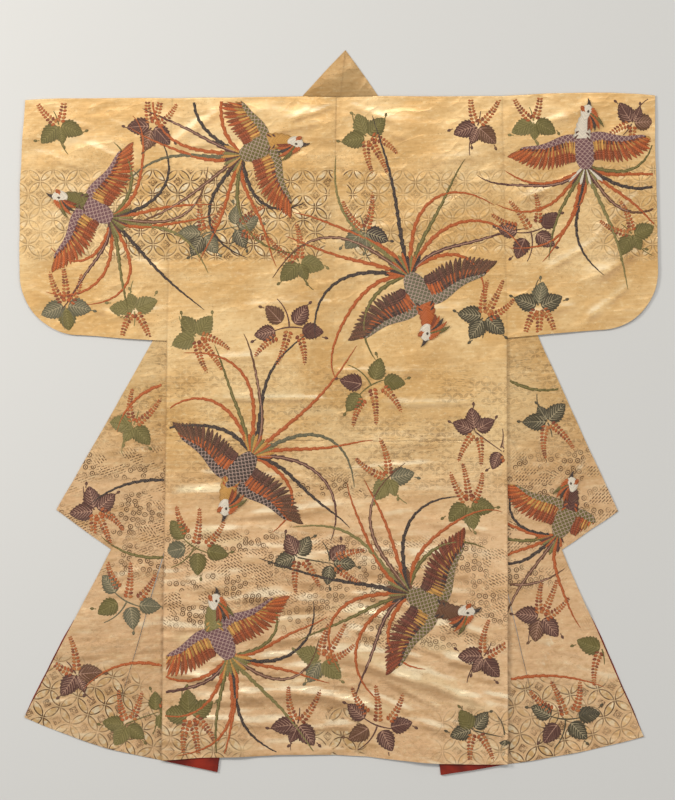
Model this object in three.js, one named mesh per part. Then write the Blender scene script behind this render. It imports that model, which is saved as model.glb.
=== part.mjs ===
// Noh robe (nuihaku type) lying flat, back up, with its fronts swung outwards.
// Units are millimetres. +Y runs towards the collar, +X to the robe's right-hand side as seen
// from above, +Z up from the surface that the robe lies on. The origin is on that surface,
// at the middle of the robe's bounding box.
import * as THREE from 'three';

// ---- cloth -------------------------------------------------------------------------------
const WALL = 1.5;             // lined silk: outer satin, lining and the floss between them
const LINING_WALL = 1.0;      // red lining where it shows
const GAP = 0.3;              // clearance between pieces at a seam, and between layers
const LEVEL = WALL + GAP;     // height from one lying layer to the next
const LINING_LIFT = LINING_WALL + GAP;
const FOLD_STEPS = 4;         // straight steps round a turned fold

// ---- levels of the mid-surfaces above the floor --------------------------------------------
const FLOOR_LAYER = WALL / 2;               // wings: fronts turned face up, overlaps, collars
const TURNED_LAYER = FLOOR_LAYER + LEVEL;   // fronts face down, between the wings and the back
const BACK_BASE = 2 * LEVEL;                // underside of the back where both lie beneath it

// ---- the two sides, each a row; all places are [x, y] ---------------------------------------
// neck: where the neckline meets the shoulder fold. foldFoot: lower end of the fold that turns
// the front outwards. seamTip and seamFoot: ends of the seam between front and overlap.
const SIDES = [
  {
    name: 'left', sign: -1,
    backCentre: [[-6.6, 696.5], [-13.2, -39], [-11, -756.4]],
    neck: [-69, 696.4], shoulderEnd: [-368, 692.4], underarm: [-380, 157.6],
    sideFoot: [-392.3, -768.4], foldFoot: [-269.6, -794.9],
    cuff: [[-693.9, 687.9], [-699.5, 592.9], [-705, 504.5], [-705, 303.4]],
    sleeveTop: [[-693.9, 687.9], [-617, 692], [-368, 692.4]],
    sleeveFoot: [[-572.4, 170.8], [-517, 166.4], [-380, 157.6]], cornerRadius: 132.6,
    wingCorner: [-624.3, -215.9], notch: [-503.9, -303.2], hemCorner: [-696.2, -673.4],
    seamTip: [-251.9, 138.3], seamFoot: [-512.7, -743],
    knee: [-230.1, 176.6], freeKnee: [-350.5, 263.9], neckPass: [-79.6, 696.4],
    backHem: [[-392.3, -768.4], [-315, -763], [-226.5, -761], [-137, -757], [-11, -756.4]],
    rim: [0.42, 0.98],
  },
  {
    name: 'right', sign: 1,
    backCentre: [[-6.6, 696.5], [-13.2, -39], [-11, -756.4]],
    neck: [75.1, 696.9], shoulderEnd: [360.2, 697], underarm: [371.3, 164.2],
    sideFoot: [373.5, -777.3], foldFoot: [226.5, -800.7],
    cuff: [[698.4, 699], [698.4, 560], [702.5, 470], [705, 312.3]],
    sleeveTop: [[698.4, 699], [600, 705], [457, 703], [360.2, 697]],
    sleeveFoot: [[572.4, 182], [470, 174], [371.3, 164.2]], cornerRadius: 131.5,
    wingCorner: [615.9, -218.8], notch: [491.7, -304.1], hemCorner: [673, -716.5],
    seamTip: [189.6, 359.8], seamFoot: [458.6, -764],
    knee: [180.5, 379.9], freeKnee: [304.8, 465.2], neckPass: [86.2, 696.9],
    backHem: [[-11, -756.4], [59.7, -759.6], [134.8, -768], [223.2, -776], [373.5, -777.3]],
    rim: [0.36, 0.97],
  },
];

// ---- collar peak at the back of the neck ----------------------------------------------------
const PEAK = {
  apex: [14.4, 800.7],        // top of the centre-back collar seam
  base: [3.3, 697.2],         // foot of that seam, at the neckline
  crown: 5,                   // how far the peak rounds up in the middle
  passWidth: 7,               // bunched collar where it goes round the neck's corner
};
const NECK_MARGIN = 4;        // front's own top edge beside the neck's corner
const NECK_STAND = 2 * WALL;  // how far above the neckline the peak starts

// ---- how closely the forms are followed -----------------------------------------------------
const BACK_ROWS = 50;
const NECK_COLUMNS = 2;
const SHOULDER_COLUMNS = 8;
const TURNED_COLUMNS = SHOULDER_COLUMNS;
const WING_COLUMNS = 4;
const WING_ROWS = { aboveKnee: 4, aboveTip: 1, below: 8 };
const SLEEVE_COLUMNS = 6;
const CORNER_COLUMNS = 5;
const SLEEVE_ROWS = { upper: 16, lower: 8 };
const COLLAR_COLUMNS = 4;
const COLLAR_ROWS = { wing: 6, bend: 6, peak: 4 };
const OVERLAP_COLUMNS = 4;
const OVERLAP_ROWS = 8;
const RIM_ROWS = 6;

// ---- lining ---------------------------------------------------------------------------------
const LINING_DEPTH = 45;      // band of lining that shows at the turned front's hem
const RIM_WIDTH = 3;          // lining rolled out past the overlap's lower edge

// ---- how the back rises over what lies under it ---------------------------------------------
const RISE_FROM = -92;        // distance inside the turned fold where the rise starts
const RISE_TO = -36;          // and where it is complete
const BAND_FULL = 76;         // height above the turned hem kept clear for the lining band
const BAND_END = 150;
const SLEEVE_REACH = [38, 120];  // same for a sleeve, past what lies beneath its inner edge
const EDGE_CALM = 46;         // no fold rises closer than this to the shoulder

// ---- largest folds of the back and sleeves, as soft ridges ----------------------------------
// x, y: middle; length, width: full length and half width; turn: degrees from +X; rise: height
const RIDGES = [
  { x: -120, y: 648, length: 190, width: 26, turn: 8, rise: 2.4 },
  { x: 150, y: 640, length: 170, width: 24, turn: -14, rise: 2.0 },
  { x: -190, y: -62, length: 340, width: 20, turn: 0, rise: 1.6 },
  { x: 190, y: -64, length: 330, width: 20, turn: 1, rise: 1.6 },
  { x: -260, y: -205, length: 190, width: 30, turn: 6, rise: 2.2 },
  { x: 210, y: -180, length: 220, width: 32, turn: -8, rise: 2.2 },
  { x: -130, y: -330, length: 230, width: 34, turn: -5, rise: 2.6 },
  { x: 120, y: -345, length: 210, width: 30, turn: 12, rise: 2.6 },
  { x: 150, y: -470, length: 260, width: 36, turn: 24, rise: 3.4 },
  { x: 60, y: -560, length: 210, width: 30, turn: 30, rise: 3.0 },
  { x: 250, y: -600, length: 180, width: 32, turn: 16, rise: 2.6 },
  { x: -250, y: -500, length: 220, width: 34, turn: -10, rise: 2.6 },
  { x: -120, y: -610, length: 240, width: 30, turn: 7, rise: 2.6 },
  { x: -520, y: 560, length: 230, width: 30, turn: -22, rise: 2.2 },
  { x: -560, y: 380, length: 220, width: 28, turn: -38, rise: 2.2 },
  { x: 540, y: 570, length: 240, width: 30, turn: 18, rise: 2.2 },
  { x: 600, y: 330, length: 190, width: 28, turn: 40, rise: 2.2 },
];

// ---- finishes -------------------------------------------------------------------------------
const cloth = (color, roughness) => new THREE.MeshStandardMaterial({ color, roughness, metalness: 0 });
const GOLD_SATIN = { color: '#cda46f', roughness: 0.5 };
const WING_SATIN = { color: '#bd9561', roughness: 0.52 };
const COLLAR_SATIN = { color: '#bb905e', roughness: 0.55 };
const RED_LINING = { color: '#6e2210', roughness: 0.7 };

// ---- small geometry helpers -----------------------------------------------------------------
const UP = new THREE.Vector3(0, 0, 1);
const DOWN = new THREE.Vector3(0, 0, -1);
const lerp = (a, b, t) => a + (b - a) * t;
const mix = (p, q, t) => [lerp(p[0], q[0], t), lerp(p[1], q[1], t)];
const smooth = (t) => {
  const held = Math.min(Math.max(t, 0), 1);
  return held * held * (3 - 2 * held);
};
const fractions = (count) => Array.from({ length: count + 1 }, (_, i) => i / count);

/** Value read off a line of [x, y] points: the other coordinate where one axis is at. */
function readLine(line, at, axis) {
  const rising = line[line.length - 1][axis] > line[0][axis];
  const points = rising ? line : [...line].reverse();
  let k = 1;
  while (k < points.length - 1 && points[k][axis] < at) k += 1;
  const [p, q] = [points[k - 1], points[k]];
  return lerp(p[1 - axis], q[1 - axis], (at - p[axis]) / (q[axis] - p[axis]));
}
const yOnLine = (line, x) => readLine(line, x, 0);
const xOnLine = (line, y) => readLine(line, y, 1);

/** Point on a line through the given points, by fraction of its length. */
function alongLine(points, fraction) {
  const runs = points.slice(1).map((q, k) => Math.hypot(q[0] - points[k][0], q[1] - points[k][1]));
  let left = fraction * runs.reduce((sum, run) => sum + run, 0);
  for (let k = 0; k < runs.length; k += 1) {
    if (left <= runs[k] || k === runs.length - 1) return mix(points[k], points[k + 1], left / runs[k]);
    left -= runs[k];
  }
  return points[0];
}

/** Signed distance of a place from the line p-q, positive on its left. */
function offLine([x, y], p, q) {
  const run = Math.hypot(q[0] - p[0], q[1] - p[1]);
  return ((q[0] - p[0]) * (y - p[1]) - (q[1] - p[1]) * (x - p[0])) / run;
}

/** Line moved sideways by a distance, positive to its left, with mitred corners. */
function shiftLine(points, distance) {
  const normals = points.slice(1).map((q, k) => {
    const run = Math.hypot(q[0] - points[k][0], q[1] - points[k][1]);
    return [-(q[1] - points[k][1]) / run, (q[0] - points[k][0]) / run];
  });
  return points.map(([x, y], k) => {
    const before = normals[Math.max(k - 1, 0)];
    const after = normals[Math.min(k, normals.length - 1)];
    const scale = distance / (1 + before[0] * after[0] + before[1] * after[1]);
    return [x + (before[0] + after[0]) * scale, y + (before[1] + after[1]) * scale];
  });
}

/** A sheet of cloth: a mid-surface of quads that is given its wall on both sides. */
class Sheet {
  constructor(wall) {
    this.wall = wall;
    this.points = [];
    this.quads = [];
  }

  point(x, y, z, normal = UP) {
    this.points.push({ at: new THREE.Vector3(x, y, z), normal });
    return this.points.length - 1;
  }

  /** Joins rows of point numbers into quads. */
  join(rows) {
    for (let j = 0; j < rows.length - 1; j += 1) {
      for (let i = 0; i < rows[j].length - 1; i += 1) {
        this.quads.push([rows[j][i], rows[j][i + 1], rows[j + 1][i + 1], rows[j + 1][i]]);
      }
    }
  }

  /** Points of a half-turn fold between two points that lie one above the other. */
  fold(from, to, outward) {
    const [top, bottom] = [this.points[from].at, this.points[to].at];
    const centre = top.clone().add(bottom).multiplyScalar(0.5);
    const spoke = top.clone().sub(centre);
    const radius = spoke.length();
    const side = spoke.clone().normalize();
    const middle = [];
    for (let k = 1; k < FOLD_STEPS; k += 1) {
      const angle = (Math.PI * k) / FOLD_STEPS;
      const radial = side.clone().multiplyScalar(Math.cos(angle));
      radial.addScaledVector(outward, Math.sin(angle));
      const at = centre.clone().addScaledVector(radial, radius);
      middle.push(this.point(at.x, at.y, at.z, this.foldNormal(from, side, radial)));
    }
    return [from, ...middle, to];
  }

  /** Outer side of a fold's wall: away from its centre if the first point's normal is. */
  foldNormal(from, side, radial) {
    return this.points[from].normal.dot(side) > 0 ? radial : radial.clone().negate();
  }

  solid() {
    const positions = [];
    for (const reach of [this.wall / 2, -this.wall / 2]) {
      for (const { at, normal } of this.points) {
        positions.push(at.x + normal.x * reach, at.y + normal.y * reach, at.z + normal.z * reach);
      }
    }
    const inner = this.points.length;
    const faces = [];
    const edges = new Map();
    for (const quad of this.quads) {
      const [a, b, c, d] = this.turnedOutwards(quad);
      faces.push(a, b, c, a, c, d, inner + a, inner + c, inner + b, inner + a, inner + d, inner + c);
      for (const [from, to] of [[a, b], [b, c], [c, d], [d, a]]) edges.set(`${from},${to}`, [from, to]);
    }
    for (const [from, to] of edges.values()) {
      if (edges.has(`${to},${from}`)) continue;
      faces.push(to, from, inner + from, to, inner + from, inner + to);
    }
    const geometry = new THREE.BufferGeometry();
    geometry.setAttribute('position', new THREE.Float32BufferAttribute(positions, 3));
    geometry.setIndex(faces);
    geometry.computeVertexNormals();
    return geometry;
  }

  /** The quad in the order that puts its front on the side of its points' normals. */
  turnedOutwards(quad) {
    const [a, b, c, d] = quad.map((k) => this.points[k].at);
    const across = new THREE.Vector3().crossVectors(c.clone().sub(a), d.clone().sub(b));
    const facing = new THREE.Vector3();
    quad.forEach((k) => facing.add(this.points[k].normal));
    return across.dot(facing) > 0 ? quad : [...quad].reverse();
  }
}

// ---- heights --------------------------------------------------------------------------------
const sideAt = (x, y) => SIDES[x < xOnLine(SIDES[0].backCentre, y) ? 0 : 1];

/** Outer side seam of a body length: sleeve seam above the underarm, side seam below it. */
const sideLine = (side) => [side.sideFoot, side.underarm, side.shoulderEnd];

/** 0 to 1: how much of the turned front lies under this place. */
function overTurnedFront(side, place) {
  const outwards = -side.sign * offLine(place, side.foldFoot, side.neck);
  return smooth((outwards - RISE_FROM) / (RISE_TO - RISE_FROM));
}

/** 0 to 1: how much of the lining band lies under this place. */
function overLining(side, place) {
  const above = side.sign * offLine(place, side.foldFoot, side.sideFoot);
  return 1 - smooth((above - BAND_FULL) / (BAND_END - BAND_FULL));
}

/** Height added by the largest folds. */
function foldsAt(x, y, topY) {
  const calm = smooth((topY - y) / EDGE_CALM);
  return calm * RIDGES.reduce((sum, ridge) => {
    const turn = THREE.MathUtils.degToRad(ridge.turn);
    const along = (x - ridge.x) * Math.cos(turn) + (y - ridge.y) * Math.sin(turn);
    const across = (y - ridge.y) * Math.cos(turn) - (x - ridge.x) * Math.sin(turn);
    const reach = smooth(2 * (1 - Math.abs(along) / (ridge.length / 2)));
    return sum + ridge.rise * reach * Math.exp(-((across / ridge.width) ** 2));
  }, 0);
}

/** Mid-surface of the back. */
function backHeight(x, y, topY) {
  const side = sideAt(x, y);
  const over = overTurnedFront(side, [x, y]);
  const base = over * (BACK_BASE + LINING_LIFT * overLining(side, [x, y]));
  return base + WALL / 2 + foldsAt(x, y, topY);
}

/** Underside of a sleeve's lower layer: raised next to the body and over the collar. */
function sleeveLift(side, x, y) {
  const seamX = xOnLine(sideLine(side), y);
  const collarEdge = xOnLine([side.wingCorner, side.freeKnee], y);
  const beneath = Math.max(0, side.sign * (collarEdge - seamX));
  const out = side.sign * (x - seamX) - beneath;
  return LEVEL * (1 - smooth((out - SLEEVE_REACH[0]) / (SLEEVE_REACH[1] - SLEEVE_REACH[0])));
}

// ---- pieces ---------------------------------------------------------------------------------
/** Seam of the front with the collar and the overlap, from the neck to the hem. */
function frontSeam(side) {
  const start = [side.neck[0] + side.sign * NECK_MARGIN, side.neck[1]];
  const path = [start, side.knee, side.seamTip, side.seamFoot];
  return shiftLine(path, side.sign * -GAP / 2);
}

/** One body length: back, shoulder fold, turned front and the wing's front, in one piece. */
function bodyLength(side) {
  const sheet = new Sheet(WALL);
  const { sign } = side;
  const inset = sign * (GAP / 2);
  const topLine = [side.backCentre[0], side.neck, side.shoulderEnd];

  // back: rows from the hem to the shoulder, columns from the centre seam to the side
  const across = [
    ...fractions(NECK_COLUMNS).slice(0, -1).map((f) => mix(topLine[0], side.neck, f)[0]),
    ...fractions(SHOULDER_COLUMNS).map((f) => mix(side.neck, side.shoulderEnd, f)[0]),
  ];
  const shares = across.map((x) => (x - across[0]) / (across[across.length - 1] - across[0]));
  const backRows = fractions(BACK_ROWS).map((v) => shares.map((share) => {
    let y = lerp(side.sideFoot[1], side.shoulderEnd[1], v);
    let x = 0;
    for (let pass = 0; pass < 3; pass += 1) {
      const centre = xOnLine(side.backCentre, y) + inset;
      const outer = xOnLine(sideLine(side), y) - inset;
      x = lerp(centre, outer, share);
      y = lerp(yOnLine(side.backHem, x), yOnLine(topLine, x), v);
    }
    return sheet.point(x, y, backHeight(x, y, yOnLine(topLine, x)), UP);
  }));
  sheet.join(backRows);

  // turned front, face down: rows from the shoulder to the hem, columns from fold to side
  const seam = frontSeam(side);
  const rowShares = [
    ...fractions(WING_ROWS.aboveKnee).map((f) => [0, f]),
    ...fractions(WING_ROWS.aboveTip).slice(1).map((f) => [1, f]),
    ...fractions(WING_ROWS.below).slice(1).map((f) => [2, f]),
  ];
  const lengthShare = rowShares.map(([leg, f]) => {
    const place = mix(seam[leg], seam[leg + 1], f);
    return (side.neck[1] - place[1]) / (side.neck[1] - seam[3][1]);
  });
  const topRow = backRows[BACK_ROWS].slice(NECK_COLUMNS);
  const turnedRows = lengthShare.map((share, j) => {
    const foldPoint = mix(side.neck, side.foldFoot, share);
    const [outerX, outerY] = alongLine([side.shoulderEnd, side.underarm, side.sideFoot], share);
    return fractions(TURNED_COLUMNS).map((f, i) => {
      const topAt = sheet.points[topRow[i]].at;
      const [x, y] = j === 0 ? [topAt.x, topAt.y] : mix(foldPoint, [outerX - inset, outerY], f);
      return sheet.point(x, y, TURNED_LAYER, DOWN);
    });
  });
  sheet.join(turnedRows);

  // shoulder fold joins the back's top row to the turned front's first row
  const shoulder = topRow.map((top, i) => sheet.fold(top, turnedRows[0][i], new THREE.Vector3(0, 1, 0)));
  sheet.join(shoulder);

  // wing front, face up on the floor: from the turned fold out to the seam
  const foldRun = new THREE.Vector3(side.foldFoot[0] - side.neck[0], side.foldFoot[1] - side.neck[1], 0);
  const inward = new THREE.Vector3(foldRun.y, -foldRun.x, 0).normalize().multiplyScalar(sign);
  const wingRows = turnedRows.map((row, j) => {
    const [leg, f] = rowShares[j];
    const seamPoint = mix(seam[leg], seam[leg + 1], f);
    const { x, y } = sheet.points[row[0]].at;
    return fractions(WING_COLUMNS).map((g) => sheet.point(...mix([x, y], seamPoint, g), FLOOR_LAYER, UP));
  });
  sheet.join(wingRows);
  sheet.join(turnedRows.map((row, j) => sheet.fold(row[0], wingRows[j][0], inward)));
  return sheet.solid();
}

/** Overlap panel: the tapered strip between the front's seam and the robe's front edge. */
function overlap(side) {
  const sheet = new Sheet(WALL);
  const seam = shiftLine([side.knee, side.seamTip, side.seamFoot], side.sign * GAP / 2);
  const collarSeam = shiftLine([side.notch, side.seamTip], side.sign * GAP);
  const tip = mix(seam[1], collarSeam[0], 0.04);
  const rows = fractions(OVERLAP_ROWS).map((v) => {
    const inner = mix(tip, seam[2], v);
    const outer = mix(collarSeam[0], side.hemCorner, v);
    return fractions(OVERLAP_COLUMNS).map((u) => sheet.point(...mix(inner, outer, u), FLOOR_LAYER));
  });
  sheet.join(rows);
  return sheet.solid();
}

/** Collar half: wing end, along the front's edge, round the neck and up to the centre seam. */
function collarHalf(side) {
  const sheet = new Sheet(WALL);
  const { sign } = side;
  const frontEdge = [[side.neck[0] + sign * NECK_MARGIN, side.neck[1]], side.knee, side.notch];
  const seamSide = shiftLine(frontEdge, sign * GAP / 2);
  const passSeam = [side.neckPass[0] - sign * PEAK.passWidth, side.neck[1] + NECK_STAND];
  const passFree = [side.neckPass[0], side.neckPass[1] + NECK_STAND];
  const stations = [
    ...fractions(COLLAR_ROWS.wing).map((f) => ({
      seam: mix(side.notch, seamSide[1], f), free: mix(side.wingCorner, side.freeKnee, f), stand: 0,
    })),
    ...fractions(COLLAR_ROWS.bend).slice(1).map((f) => ({
      seam: mix(seamSide[1], seamSide[0], f), free: mix(side.freeKnee, side.neckPass, f), stand: 0,
    })),
    ...fractions(COLLAR_ROWS.peak).map((f) => ({
      seam: mix(passSeam, [PEAK.base[0] + sign * GAP / 2, PEAK.base[1] + NECK_STAND], f),
      free: mix(passFree, [PEAK.apex[0] + sign * GAP / 2, PEAK.apex[1]], f), stand: f,
    })),
  ];
  const rows = stations.map(({ seam, free, stand }) => fractions(COLLAR_COLUMNS).map((u) => {
    const crown = PEAK.crown * stand * 4 * u * (1 - u);
    return sheet.point(...mix(seam, free, u), FLOOR_LAYER + crown);
  }));
  sheet.join(rows);
  return sheet.solid();
}

/** Sleeve: one length folded along its top, its lower outer corner rounded. */
function sleeve(side) {
  const sheet = new Sheet(WALL);
  const { sign } = side;
  const reach = [
    ...fractions(SLEEVE_COLUMNS).slice(0, -1).map((f) => ({ share: f, rounded: 0 })),
    ...fractions(CORNER_COLUMNS).map((f) => ({ share: 1, rounded: f * Math.PI / 2 })),
  ];
  const seamLine = sideLine(side);
  const cornerAt = side.cuff[3][0] - sign * side.cornerRadius;
  const place = (v, { share, rounded }, height, normal) => {
    const straightX = lerp(side.underarm[0], cornerAt, share);
    const footX = straightX + sign * side.cornerRadius * Math.sin(rounded);
    const foot = yOnLine(side.sleeveFoot, straightX) + side.cornerRadius * (1 - Math.cos(rounded));
    const fraction = (footX - side.underarm[0]) / (side.cuff[3][0] - side.underarm[0]);
    let y = lerp(side.shoulderEnd[1], foot, v);
    let x = footX;
    for (let pass = 0; pass < 3; pass += 1) {
      const inner = xOnLine(seamLine, y) + sign * GAP / 2;
      x = lerp(inner, xOnLine(side.cuff, y), fraction);
      y = lerp(yOnLine(side.sleeveTop, x), foot, v);
    }
    return sheet.point(x, y, height(x, y), normal);
  };
  const layer = (rowCount, height, normal) => fractions(rowCount)
    .map((v) => reach.map((column) => place(v, column, height, normal)));
  const upper = layer(SLEEVE_ROWS.upper, (x, y) => {
    const base = sleeveLift(side, x, y) + LEVEL + WALL / 2;
    return base + foldsAt(x, y, yOnLine(side.sleeveTop, x));
  }, UP);
  const lower = layer(SLEEVE_ROWS.lower, (x, y) => sleeveLift(side, x, y) + WALL / 2, DOWN);
  sheet.join(upper);
  sheet.join(lower);
  sheet.join(upper[0].map((top, i) => sheet.fold(top, lower[0][i], new THREE.Vector3(0, 1, 0))));
  return sheet.solid();
}

/** Red lining of the turned front, a band along its hem under the back. */
function liningBand(side) {
  const sheet = new Sheet(LINING_WALL);
  const rise = [side.neck[0] - side.foldFoot[0], side.neck[1] - side.foldFoot[1]];
  const run = Math.hypot(...rise);
  const up = rise.map((value) => (value / run) * LINING_DEPTH);
  const height = TURNED_LAYER + WALL / 2 + GAP + LINING_WALL / 2;
  const rows = fractions(2).map((v) => fractions(TURNED_COLUMNS).map((u) => {
    const [x, y] = mix(side.foldFoot, side.sideFoot, u * 0.99);
    return sheet.point(x + up[0] * v, y + up[1] * v, height);
  }));
  sheet.join(rows);
  return sheet.solid();
}

/** Rim of the lining rolled out past the lower front edge of the overlap. */
function liningRim(side) {
  const sheet = new Sheet(LINING_WALL);
  const edge = [side.notch, side.hemCorner];
  const inner = shiftLine(edge, side.sign * GAP);
  const outer = shiftLine(edge, side.sign * (GAP + RIM_WIDTH));
  const rows = fractions(RIM_ROWS).map((f) => {
    const share = lerp(side.rim[0], side.rim[1], f);
    const fullness = smooth(4 * Math.min(f, 1 - f) + 0.15);
    const near = mix(inner[0], inner[1], share);
    const far = mix(near, mix(outer[0], outer[1], share), fullness);
    return [near, far].map(([x, y]) => sheet.point(x, y, LINING_WALL / 2));
  });
  sheet.join(rows);
  return sheet.solid();
}

// ---- assembly -------------------------------------------------------------------------------
const robe = new THREE.Group();
const PIECES = [
  { name: 'body', build: bodyLength, finish: GOLD_SATIN },
  { name: 'overlap', build: overlap, finish: WING_SATIN },
  { name: 'sleeve', build: sleeve, finish: GOLD_SATIN },
  { name: 'collar', build: collarHalf, finish: COLLAR_SATIN },
  { name: 'lining', build: liningBand, finish: RED_LINING },
  { name: 'lining_rim', build: liningRim, finish: RED_LINING },
];
for (const side of SIDES) {
  for (const piece of PIECES) {
    const mesh = new THREE.Mesh(piece.build(side), cloth(piece.finish.color, piece.finish.roughness));
    mesh.name = `${piece.name}_${side.name}`;
    robe.add(mesh);
  }
}
export default robe;
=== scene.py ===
"""Noh robe lying flat with its back up: silk, worn gold leaf, lining, seams and embroidery."""
import logging
import math
import random
from dataclasses import dataclass
from enum import Enum
from typing import Callable, Sequence

import bmesh
import bpy
import numpy as np
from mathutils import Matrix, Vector


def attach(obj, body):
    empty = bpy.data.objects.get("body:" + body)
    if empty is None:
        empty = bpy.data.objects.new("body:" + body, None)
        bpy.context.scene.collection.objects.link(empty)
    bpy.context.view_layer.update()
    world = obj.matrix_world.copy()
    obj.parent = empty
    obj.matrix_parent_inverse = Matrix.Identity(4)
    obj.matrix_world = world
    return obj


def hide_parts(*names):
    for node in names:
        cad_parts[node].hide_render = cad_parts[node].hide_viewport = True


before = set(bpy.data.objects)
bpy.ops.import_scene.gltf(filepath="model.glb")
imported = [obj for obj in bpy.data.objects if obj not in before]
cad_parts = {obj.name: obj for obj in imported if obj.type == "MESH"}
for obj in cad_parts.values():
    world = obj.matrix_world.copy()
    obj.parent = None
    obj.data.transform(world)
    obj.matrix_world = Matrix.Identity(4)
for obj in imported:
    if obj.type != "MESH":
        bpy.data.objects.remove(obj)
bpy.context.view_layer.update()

log = logging.getLogger("robe")

MM = 0.001
Array = np.ndarray
Place = Callable[[Array, Array], tuple[Array, Array]]
Colour = tuple[float, float, float]
Mesh, Piece, Material = bpy.types.Mesh, bpy.types.Object, bpy.types.Material
Node, NodeTree, Socket = bpy.types.Node, bpy.types.NodeTree, bpy.types.NodeSocket


# ---- sizes of the robe ----
def mm_line(*points: tuple[float, float]) -> Array:
    """Gives a line of places, listed in millimetres, as an array in metres."""
    return np.array(points, float) * MM


def mm_place(x: float, y: float) -> Array:
    """Gives one place, in millimetres, as an array in metres."""
    return mm_line((x, y))[0]


WALL = 1.5 * MM                       # the solids' cloth
GAP = 0.3 * MM                        # between two layers
LEVEL = WALL + GAP
SILK = 1.3 * MM                       # wall of the dressed silk, a little under the solid's
LINING_WALL = 1.0 * MM
LINING_SILK = 0.9 * LINING_WALL       # wall of the dressed lining
STITCH = 0.03 * MM                    # half the gap between two silks that are sewn together
EDGE_STEPS = (1.3 * MM, 3.2 * MM, 6.5 * MM)   # first rows of points along each seam and fold

FLOOR_LAYER = WALL / 2                # middle of what lies on the floor
TURNED_LAYER = FLOOR_LAYER + LEVEL    # middle of the front that lies face down
BACK_BASE = 2 * LEVEL                 # underside of the back
RISE_FROM, RISE_TO = -92 * MM, -36 * MM       # where the back comes down beside the turned front
BAND_FULL, BAND_END = 76 * MM, 150 * MM       # where the lining's band lifts the back
SLEEVE_REACH = (38 * MM, 120 * MM)    # where a sleeve comes down past the collar
EDGE_CALM = 46 * MM                   # folds fade this near to the top edge

SHOULDER_Y = 694 * MM                 # level that lengths along the cloth are counted from
BACK_LENGTH = 1450 * MM
OVERLAP_WIDTH, OVERLAP_LENGTH = 200 * MM, 900 * MM
SLEEVE_STRAIGHT, SLEEVE_DEPTH = 200 * MM, 530 * MM    # straight part of its foot, and its height
COLLAR_WIDTH = 150 * MM
NECK_MARGIN = 4 * MM
NECK_STAND = 3 * MM
LINING_DEPTH = 45 * MM
RIM_WIDTH = 3 * MM
CROSS_CREASE = -63.5 * MM             # height of the sharp crease across the back
# painted shade on what lies on the floor, on the collar's runs and on its peak
WING_SHADE, COLLAR_RUN_SHADE, COLLAR_SHADE = 0.20, 0.30, 1.0


@dataclass(frozen=True)
class Side:
    """Places of one side of the robe, in metres, as it lies."""

    name: str
    sign: int
    back_centre: Array
    neck: Array
    shoulder_end: Array
    underarm: Array
    side_foot: Array
    fold_foot: Array
    cuff: Array
    sleeve_top: Array
    sleeve_foot: Array
    corner_radius: float
    wing_corner: Array
    notch: Array
    hem_corner: Array
    seam_tip: Array
    seam_foot: Array
    knee: Array
    free_knee: Array
    neck_pass: Array
    back_hem: Array
    rim: tuple[float, float]

    @property
    def side_line(self) -> Array:
        """Outer edge of the body length: side seam, then sleeve seam."""
        return np.array([self.side_foot, self.underarm, self.shoulder_end])

    @property
    def top_line(self) -> Array:
        """Neckline and shoulder from the centre seam to the sleeve."""
        return np.array([self.back_centre[0], self.neck, self.shoulder_end])

    @property
    def fold_run(self) -> Array:
        """Direction of the front's fold, from the neck to the hem."""
        return (self.fold_foot - self.neck) / span(self.fold_foot, self.neck)

    def out(self, x: Array, y: Array) -> Array:
        """How far places lie out past the side and sleeve seam."""
        return self.sign * (x - x_on(self.side_line, y))


LEFT = Side(
    name="left", sign=-1,
    back_centre=mm_line((-6.6, 696.5), (-13.2, -39), (-11, -756.4)),
    neck=mm_place(-69, 696.4), shoulder_end=mm_place(-368, 692.4),
    underarm=mm_place(-380, 157.6), side_foot=mm_place(-392.3, -768.4),
    fold_foot=mm_place(-269.6, -794.9),
    cuff=mm_line((-693.9, 687.9), (-699.5, 592.9), (-705, 504.5), (-705, 303.4)),
    sleeve_top=mm_line((-693.9, 687.9), (-617, 692), (-368, 692.4)),
    sleeve_foot=mm_line((-572.4, 170.8), (-517, 166.4), (-380, 157.6)),
    corner_radius=132.6 * MM,
    wing_corner=mm_place(-624.3, -215.9), notch=mm_place(-503.9, -303.2),
    hem_corner=mm_place(-696.2, -673.4), seam_tip=mm_place(-251.9, 138.3),
    seam_foot=mm_place(-512.7, -743), knee=mm_place(-230.1, 176.6),
    free_knee=mm_place(-350.5, 263.9), neck_pass=mm_place(-79.6, 696.4),
    back_hem=mm_line((-392.3, -768.4), (-315, -763), (-226.5, -761), (-137, -757), (-11, -756.4)),
    rim=(0.42, 0.98),
)
RIGHT = Side(
    name="right", sign=1,
    back_centre=LEFT.back_centre,
    neck=mm_place(75.1, 696.9), shoulder_end=mm_place(360.2, 697),
    underarm=mm_place(371.3, 164.2), side_foot=mm_place(373.5, -777.3),
    fold_foot=mm_place(226.5, -800.7),
    cuff=mm_line((698.4, 699), (698.4, 560), (702.5, 470), (705, 312.3)),
    sleeve_top=mm_line((698.4, 699), (600, 705), (457, 703), (360.2, 697)),
    sleeve_foot=mm_line((572.4, 182), (470, 174), (371.3, 164.2)),
    corner_radius=131.5 * MM,
    wing_corner=mm_place(615.9, -218.8), notch=mm_place(491.7, -304.1),
    hem_corner=mm_place(673, -716.5), seam_tip=mm_place(189.6, 359.8),
    seam_foot=mm_place(458.6, -764), knee=mm_place(180.5, 379.9),
    free_knee=mm_place(304.8, 465.2), neck_pass=mm_place(86.2, 696.9),
    back_hem=mm_line((-11, -756.4), (59.7, -759.6), (134.8, -768), (223.2, -776), (373.5, -777.3)),
    rim=(0.36, 0.97),
)
SIDES = (LEFT, RIGHT)
PEAK_APEX = mm_place(14.4, 800.7)
PEAK_BASE = mm_place(3.3, 697.2)
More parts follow.
